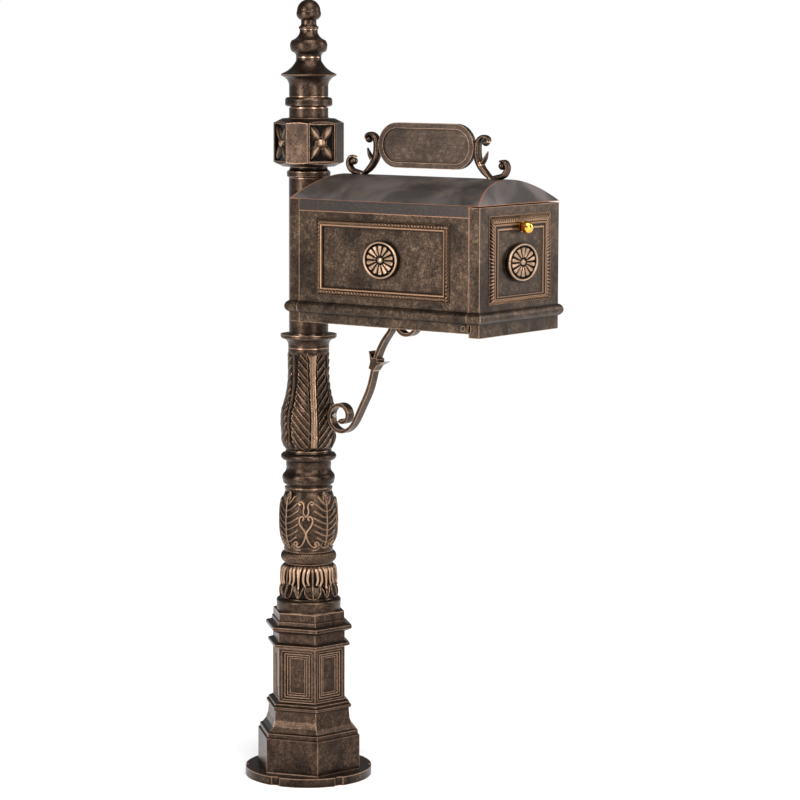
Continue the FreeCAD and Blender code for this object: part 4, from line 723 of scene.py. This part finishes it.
def rosette_height(share, angle):
    """Height share of an oval rosette: rim ring, outlined petals and centre button."""
    button = np.sqrt(np.clip(1 - (share / 0.20) ** 2, 0, 1)) * 0.95
    lobe = (angle * PETALS / (2 * math.pi)) % 1 * 2 - 1
    tip = np.clip((0.80 - 0.05 * lobe ** 2 - share) / 0.05, 0, 1)
    root = np.clip((share - 0.22) / 0.05, 0, 1)
    wide = 0.86 - 0.22 * np.clip((0.5 - share) / 0.3, 0, 1)
    across = np.abs(lobe) / wide
    body = 0.30 + 0.60 * np.sqrt(np.clip(1 - across ** 2, 0, 1)) - 0.10 * np.exp(-(across / 0.12) ** 2)
    body = np.where(across < 1, body, 0.0)
    petal = np.clip(body, 0, 0.92) * tip * root
    rim = np.sqrt(np.clip(1 - ((share - 0.92) / 0.075) ** 2, 0, 1)) * 0.98
    return np.maximum(np.maximum(petal, rim), button)


def rosette(name, node, body, centre, along, upward, normal, half_width, half_height, thick, material):
    """Oval rosette that stands thick mm over its seat."""
    button, petal, rim = np.linspace(0.01, 0.2, 10), np.linspace(0.21, 0.78, 44), np.linspace(0.79, 1.0, 26)
    shares = np.concatenate([button, petal, rim])
    angle = np.linspace(0, 2 * math.pi, PETALS * 26, endpoint=False)
    rows = []
    for share in shares:
        height = thick * (0.42 + 0.58 * rosette_height(share, angle))
        rows.append((share, height))
    raised = np.concatenate([rosette_height(share, angle) for share in shares])
    rows.append((1.0, 0 * angle))
    rows.append((0.02, 0 * angle))
    grid = []
    for share, height in rows:
        grid.append(np.array(centre)
                    + (share * half_width * np.cos(angle))[:, None] * np.array(along)
                    + (share * half_height * np.sin(angle))[:, None] * np.array(upward)
                    + (height + 0 * angle)[:, None] * np.array(normal))
    points, faces = skin(np.array(grid) * MM, ring=False)
    piece = finish_mesh(name, points, faces, material, 50, raised)
    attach(piece, body)
    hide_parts(node)


def zigzag(pitch, tall):
    """Row of triangles: the tooth's height over a flat-backed sawtooth."""
    def tooth(run, share):
        wave = np.abs((run / pitch) % 1 * 2 - 1)
        return tall * (np.clip((wave - share * 0.9) / 0.18, 0, 1))
    return tooth


def rope(pitch, tall):
    """Slanted strands of a laid rope."""
    def tooth(run, share):
        return tall * (np.sqrt(np.abs(np.sin(math.pi * (run / pitch + share * 1.2)))) - 0.2)
    return tooth


# outside of a long side from the middle of the box, in mm
BOX_HALF_WIDTH = 148.0


def side_trim(material, rosette_material):
    """Border and rosette of each long side."""
    for name, sign in (("left", -1), ("right", 1)):
        low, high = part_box(name + "_border")
        seat = sign * BOX_HALF_WIDTH
        centre = (seat, (low.y + high.y) / 2 / MM, (low.z + high.z) / 2 / MM)
        half_y, half_z = (high.y - low.y) / 2 / MM, (high.z - low.z) / 2 / MM
        along, normal = (0, sign, 0), (sign, 0, 0)
        band = 18.0
        outer = (-half_y, half_y, -half_z, half_z)
        inner = (-half_y + band, half_y - band, -half_z + band, half_z - band)
        section = [(0.0, 1.8, 0), (0.10, 2.6, 0), (0.18, 1.6, 0), (0.22, 0.4, 0)]
        section += [(0.22 + 0.40 * k / 9, 0.2 + 1.0 * math.sin(math.pi * k / 9), 1.0) for k in range(10)]
        section += [(0.64, 0.4, 0), (0.70, 3.4, 0), (0.84, 3.4, 0), (0.90, 2.6, 0), (1.0, 1.4, 0)]
        strands = rope(9.0, 2.6)
        points, faces, raised = frame_relief(centre, along, (0, 0, 1.0), normal, outer, inner, section,
                                     lambda run, share: strands(run, share * 2.0))
        piece = finish_mesh(name + "_rope_border", points, faces, material, 50, raised)
        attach(piece, "stand")
        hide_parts(name + "_border")
        low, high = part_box(name + "_rosette")
        centre = (seat, (low.y + high.y) / 2 / MM, (low.z + high.z) / 2 / MM)
        rosette(name + "_oval_rosette", name + "_rosette", "stand", centre, along, (0, 0, 1.0), normal,
                (high.y - low.y) / 2 / MM, (high.z - low.z) / 2 / MM,
                max(abs(low.x), abs(high.x)) / MM - BOX_HALF_WIDTH, rosette_material)


def door_trim(material, rosette_material):
    """Toothed border and rosette of the door."""
    low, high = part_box("door_border")
    seat = high.y / MM
    centre = (0, seat, (low.z + high.z) / 2 / MM)
    along, normal = (1.0, 0, 0), (0, -1.0, 0)
    half_x, half_z = high.x / MM, (high.z - low.z) / 2 / MM
    outer = (-half_x, half_x, -half_z, half_z)
    inner = (-half_x + 34, half_x - 34, -half_z + 17, half_z - 34)
    section = [(0.0, 1.2, 0), (0.04, 1.2, 0)]
    section += [(0.05 + 0.42 * k / 10, 0.2, 1.0) for k in range(11)]
    section += [(0.50, 0.2, 0), (0.54, 3.4, 0), (0.62, 3.4, 0), (0.68, 2.2, 0), (0.78, 2.0, 0)]
    section += [(0.84, 3.2, 0), (0.92, 3.2, 0), (1.0, 0.6, 0)]
    teeth = zigzag(8.0, 3.2)
    points, faces, raised = frame_relief(centre, along, (0, 0, 1.0), normal, outer, inner, section,
                                 lambda run, share: teeth(run, 1 - (share - 0.05) / 0.42), 2.2)
    piece = finish_mesh("door_toothed_border", points, faces, material, 40, raised)
    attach(piece, "door")
    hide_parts("door_border")
    low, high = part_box("door_rosette")
    centre = (0, high.y / MM, (low.z + high.z) / 2 / MM)
    rosette("door_oval_rosette", "door_rosette", "door", centre, along, (0, 0, 1.0), normal,
            high.x / MM, (high.z - low.z) / 2 / MM, (high.y - low.y) / MM, rosette_material)


# ---------------------------------------------------------------------------------------------------------
# scrolls at the ends of the name plate
# ---------------------------------------------------------------------------------------------------------
# centre lines as (distance from the plate's end, height over the roof's crown) in mm, where a negative
# distance is away from the plate
STRAP = ((-48, -2), (-36, 6), (-21, 20), (-10, 38), (-7, 57),
         (-8, 73), (-14, 84), (-24, 89), (-34, 86), (-37, 78))
LOWER_CURL = ((-44, 0), (-59, 3), (-77, 9), (-85, 24), (-79, 37), (-67, 38))
SPUR = ((-14, 26), (-21, 34), (-28, 44), (-34, 58))
EYES = ((-29, 77, 8.0), (-72, 28, 8.5))
SCROLL_HALF_WIDTH = 10.0


def swept(path, thickness, width, columns=20):
    """Closed rounded bar along a path of (y, z), with thickness and width in mm spread along it."""
    line = smooth_line(path, 8)
    ahead = np.gradient(line, axis=0)
    ahead /= np.hypot(ahead[:, 0], ahead[:, 1])[:, None]
    side = np.stack([-ahead[:, 1], ahead[:, 0]], -1)
    share = np.linspace(0, 1, len(line))
    thick = np.interp(share, np.linspace(0, 1, len(thickness)), thickness)[:, None] / 2
    wide = np.interp(share, np.linspace(0, 1, len(width)), width)[:, None] / 2
    turn = np.linspace(0, 2 * math.pi, columns, endpoint=False)
    lift = np.sign(np.sin(turn)) * np.abs(np.sin(turn)) ** 0.8
    reach = np.sign(np.cos(turn)) * np.abs(np.cos(turn)) ** 0.6
    grid = [wide * reach, line[:, :1] + side[:, :1] * thick * lift, line[:, 1:] + side[:, 1:] * thick * lift]
    return skin(np.stack(grid, -1) * MM, ring=False)


def boss(y, z, radius, half_width, rows=12, columns=24):
    """Closed button, round from the side."""
    lean = np.linspace(-math.pi / 2, math.pi / 2, rows + 2)[1:-1, None]
    turn = np.linspace(0, 2 * math.pi, columns, endpoint=False)[None, :]
    grid = [half_width * np.sin(lean) + 0 * turn, y + radius * np.cos(lean) * np.cos(turn),
            z + radius * np.cos(lean) * np.sin(turn)]
    return skin(np.stack(grid, -1) * MM, ring=False)


def plate_scrolls(material):
    """The S-scroll with a leaf spur at each end of the name plate."""
    low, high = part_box("name_plate")
    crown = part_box("box_roof")[1].z / MM
    for node, end, away in (("rear_scroll", high.y / MM, 1), ("front_scroll", low.y / MM, -1)):
        def laid(path):
            return [(end - away * out, crown + rise) for out, rise in path]
        parts = [
            swept(laid(STRAP), (4, 12, 15, 14, 11, 8, 5), (18, 20, 20, 20, 20, 18, 14)),
            swept(laid(LOWER_CURL), (12, 12, 11, 9, 5), (18, 20, 19, 18, 14)),
            swept(laid(SPUR), (7, 8, 6, 1.5), (16, 17, 14, 6)),
        ]
        for out, rise, radius in EYES:
            parts.append(boss(end - away * out, crown + rise, radius, SCROLL_HALF_WIDTH))
        points, faces = joined(parts)
        piece = finish_mesh(node + "_casting", points, faces, material, 50)
        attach(piece, "stand")
        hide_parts(node)


# ---------------------------------------------------------------------------------------------------------
# frame pieces that keep their own shape
# ---------------------------------------------------------------------------------------------------------
def dress(names, material, bevel=0.0):
    """Give frame pieces a material, and round their edges by bevel mm."""
    for name in names:
        thing = nodes[name]
        thing.data.materials.clear()
        thing.data.materials.append(material)
        if bevel:
            edge = thing.modifiers.new("rounded_edges", "BEVEL")
            edge.width = bevel * MM
            edge.segments = 2
            edge.limit_method = "ANGLE"
            edge.angle_limit = math.radians(35)
            edge.use_clamp_overlap = True
            edge.harden_normals = False


# ---------------------------------------------------------------------------------------------------------
# stage
# ---------------------------------------------------------------------------------------------------------
def soft_box(name, place, target, width, height, power):
    light = bpy.data.lights.new(name, "AREA")
    light.shape = "RECTANGLE"
    light.size = width
    light.size_y = height
    light.energy = power
    lamp = bpy.data.objects.new(name, light)
    lamp.location = place
    lamp.rotation_mode = "QUATERNION"
    lamp.rotation_quaternion = (Vector(target) - Vector(place)).to_track_quat("-Z", "Y")
    scene.collection.objects.link(lamp)


SURROUND_LIGHT = 0.16


def stage():
    """Pale floor, white surroundings and three soft boxes."""
    half = 40.0
    mesh = bpy.data.meshes.new("floor")
    corners = [(-half, -half, 0), (half, -half, 0), (half, half, 0), (-half, half, 0)]
    mesh.from_pydata(corners, [], [(0, 1, 2, 3)])
    mesh.materials.append(stage_floor())
    floor = bpy.data.objects.new("floor", mesh)
    scene.collection.objects.link(floor)
    world = bpy.data.worlds.new("studio")
    world.use_nodes = True
    tree = world.node_tree
    background = tree.nodes["Background"]
    seen = tree.nodes.new("ShaderNodeLightPath").outputs["Is Camera Ray"]
    level = tree.nodes.new("ShaderNodeMapRange")
    level.inputs["To Min"].default_value = SURROUND_LIGHT
    level.inputs["To Max"].default_value = 1.0
    tree.links.new(seen, level.inputs["Value"])
    tree.links.new(level.outputs[0], background.inputs[1])
    background.inputs[0].default_value = (1.0, 1.0, 1.0, 1)
    scene.world = world
    sun = bpy.data.lights.new("sky_light", "SUN")
    sun.energy = 3.9
    sun.angle = math.radians(50)
    lamp = bpy.data.objects.new("sky_light", sun)
    lamp.rotation_euler = (math.radians(28), math.radians(-22), 0)
    scene.collection.objects.link(lamp)
    soft_box("key", (-3.9, 0.7, 1.9), (0, -0.1, 0.9), 1.0, 2.8, 150)
    soft_box("fill", (-1.5, -3.9, 1.7), (0, -0.2, 0.9), 0.9, 2.6, 95)
    soft_box("rim", (2.6, -2.8, 2.2), (0, -0.2, 0.9), 0.8, 2.4, 60)
    scene.view_settings.view_transform = "Standard"


# ---------------------------------------------------------------------------------------------------------
# whole object
# ---------------------------------------------------------------------------------------------------------
make_camera()
stage()

post_metal = bronze("post_bronze", "0f0906", "44342a", "8a7059", "b5927a", 2.2, 0.42, 0.9, 0.29)
box_metal = bronze("box_bronze", "120d0a", "46372c", "8f7760", "a88970", 1.4, 0.55, 0.88, 0.34)
relief_metal = bronze("relief_bronze", "0f0906", "46362b", "866c56", "ab8a70", 1.5, 0.4, 0.9, 0.27,
                      carved=True)
border_metal = bronze("border_bronze", "060302", "1b120c", "3a2b20", "a07d61", 1.0, 0.2, carved=True)
rosette_metal = bronze("rosette_bronze", "0f0a07", "4c3c30", "8c735d", "ac8e74", 1.2, 0.5, 0.88, 0.3,
                       carved=True)
plate_metal = bronze("plate_bronze", "2a211c", "4e4036", "7c6959", "b3917a", 1.6, 0.6,
                     stretch=(1.0, 0.1, 1.0))
scroll_metal = bronze("scroll_bronze", "17100b", "4d3c30", "8c7059", "ba977e", 1.8, 0.5, 0.9, 0.3)
roof_metal = roof_bronze()
brass = polished_brass()
zinc_steel = plain_metal("zinc_steel", "6d6a66", "a5a19b", 0.38)
tie_steel = plain_metal("tie_steel", "4a4744", "76716b", 0.45)
magnet_metal = plain_metal("magnet_metal", "2a2a2c", "46464a", 0.55, 0.6)
flag_paint = signal_red()

dress(["base_flange", "pedestal_foot", "pedestal_cornice", "plinth_disc", "bell_collar", "column_cap",
       "post_tube", "post_collar", "flower_block", "neck_band", "ring_band", "finial_disc", "finial_bead",
       "finial_ball"], post_metal, 0.8)
dress(["box_floor", "left_side", "right_side", "rear_wall", "door_header", "door_shell"], box_metal, 0.7)
dress(["box_roof"], roof_metal, 0.8)
dress(["name_plate"], plate_metal, 1.2)
dress(["scroll_bracket", "bracket_leaf"], scroll_metal, 1.2)
dress(["door_knob"], brass, 0.3)
dress(["hinge_pins"], box_metal, 0.3)
dress(["mounting_saddles", "saddle_bolts", "bracket_screws", "flag_bush", "flag_pivot_screw",
       "knob_screw", "strike_plate"], zinc_steel, 0.3)
dress(["tie_rod", "tie_rod_nut"], tie_steel)
dress(["catch_magnet"], magnet_metal, 0.5)
dress(["signal_flag"], flag_paint, 0.5)

cast_ring("leaf_baluster", feathered_leaf, relief_metal, 480, 204)
cast_ring("scroll_drum", lyre_and_fronds, relief_metal, 560, 175)
cast_ring("rope_ring", twisted_rope, relief_metal, 720, 44)
cast_ring("leaf_cup", drooping_leaves, relief_metal, 600, 140)
panelled_shaft(post_metal)
flower_tiles(relief_metal)
side_trim(border_metal, rosette_metal)
door_trim(border_metal, rosette_metal)
plate_scrolls(scroll_metal)
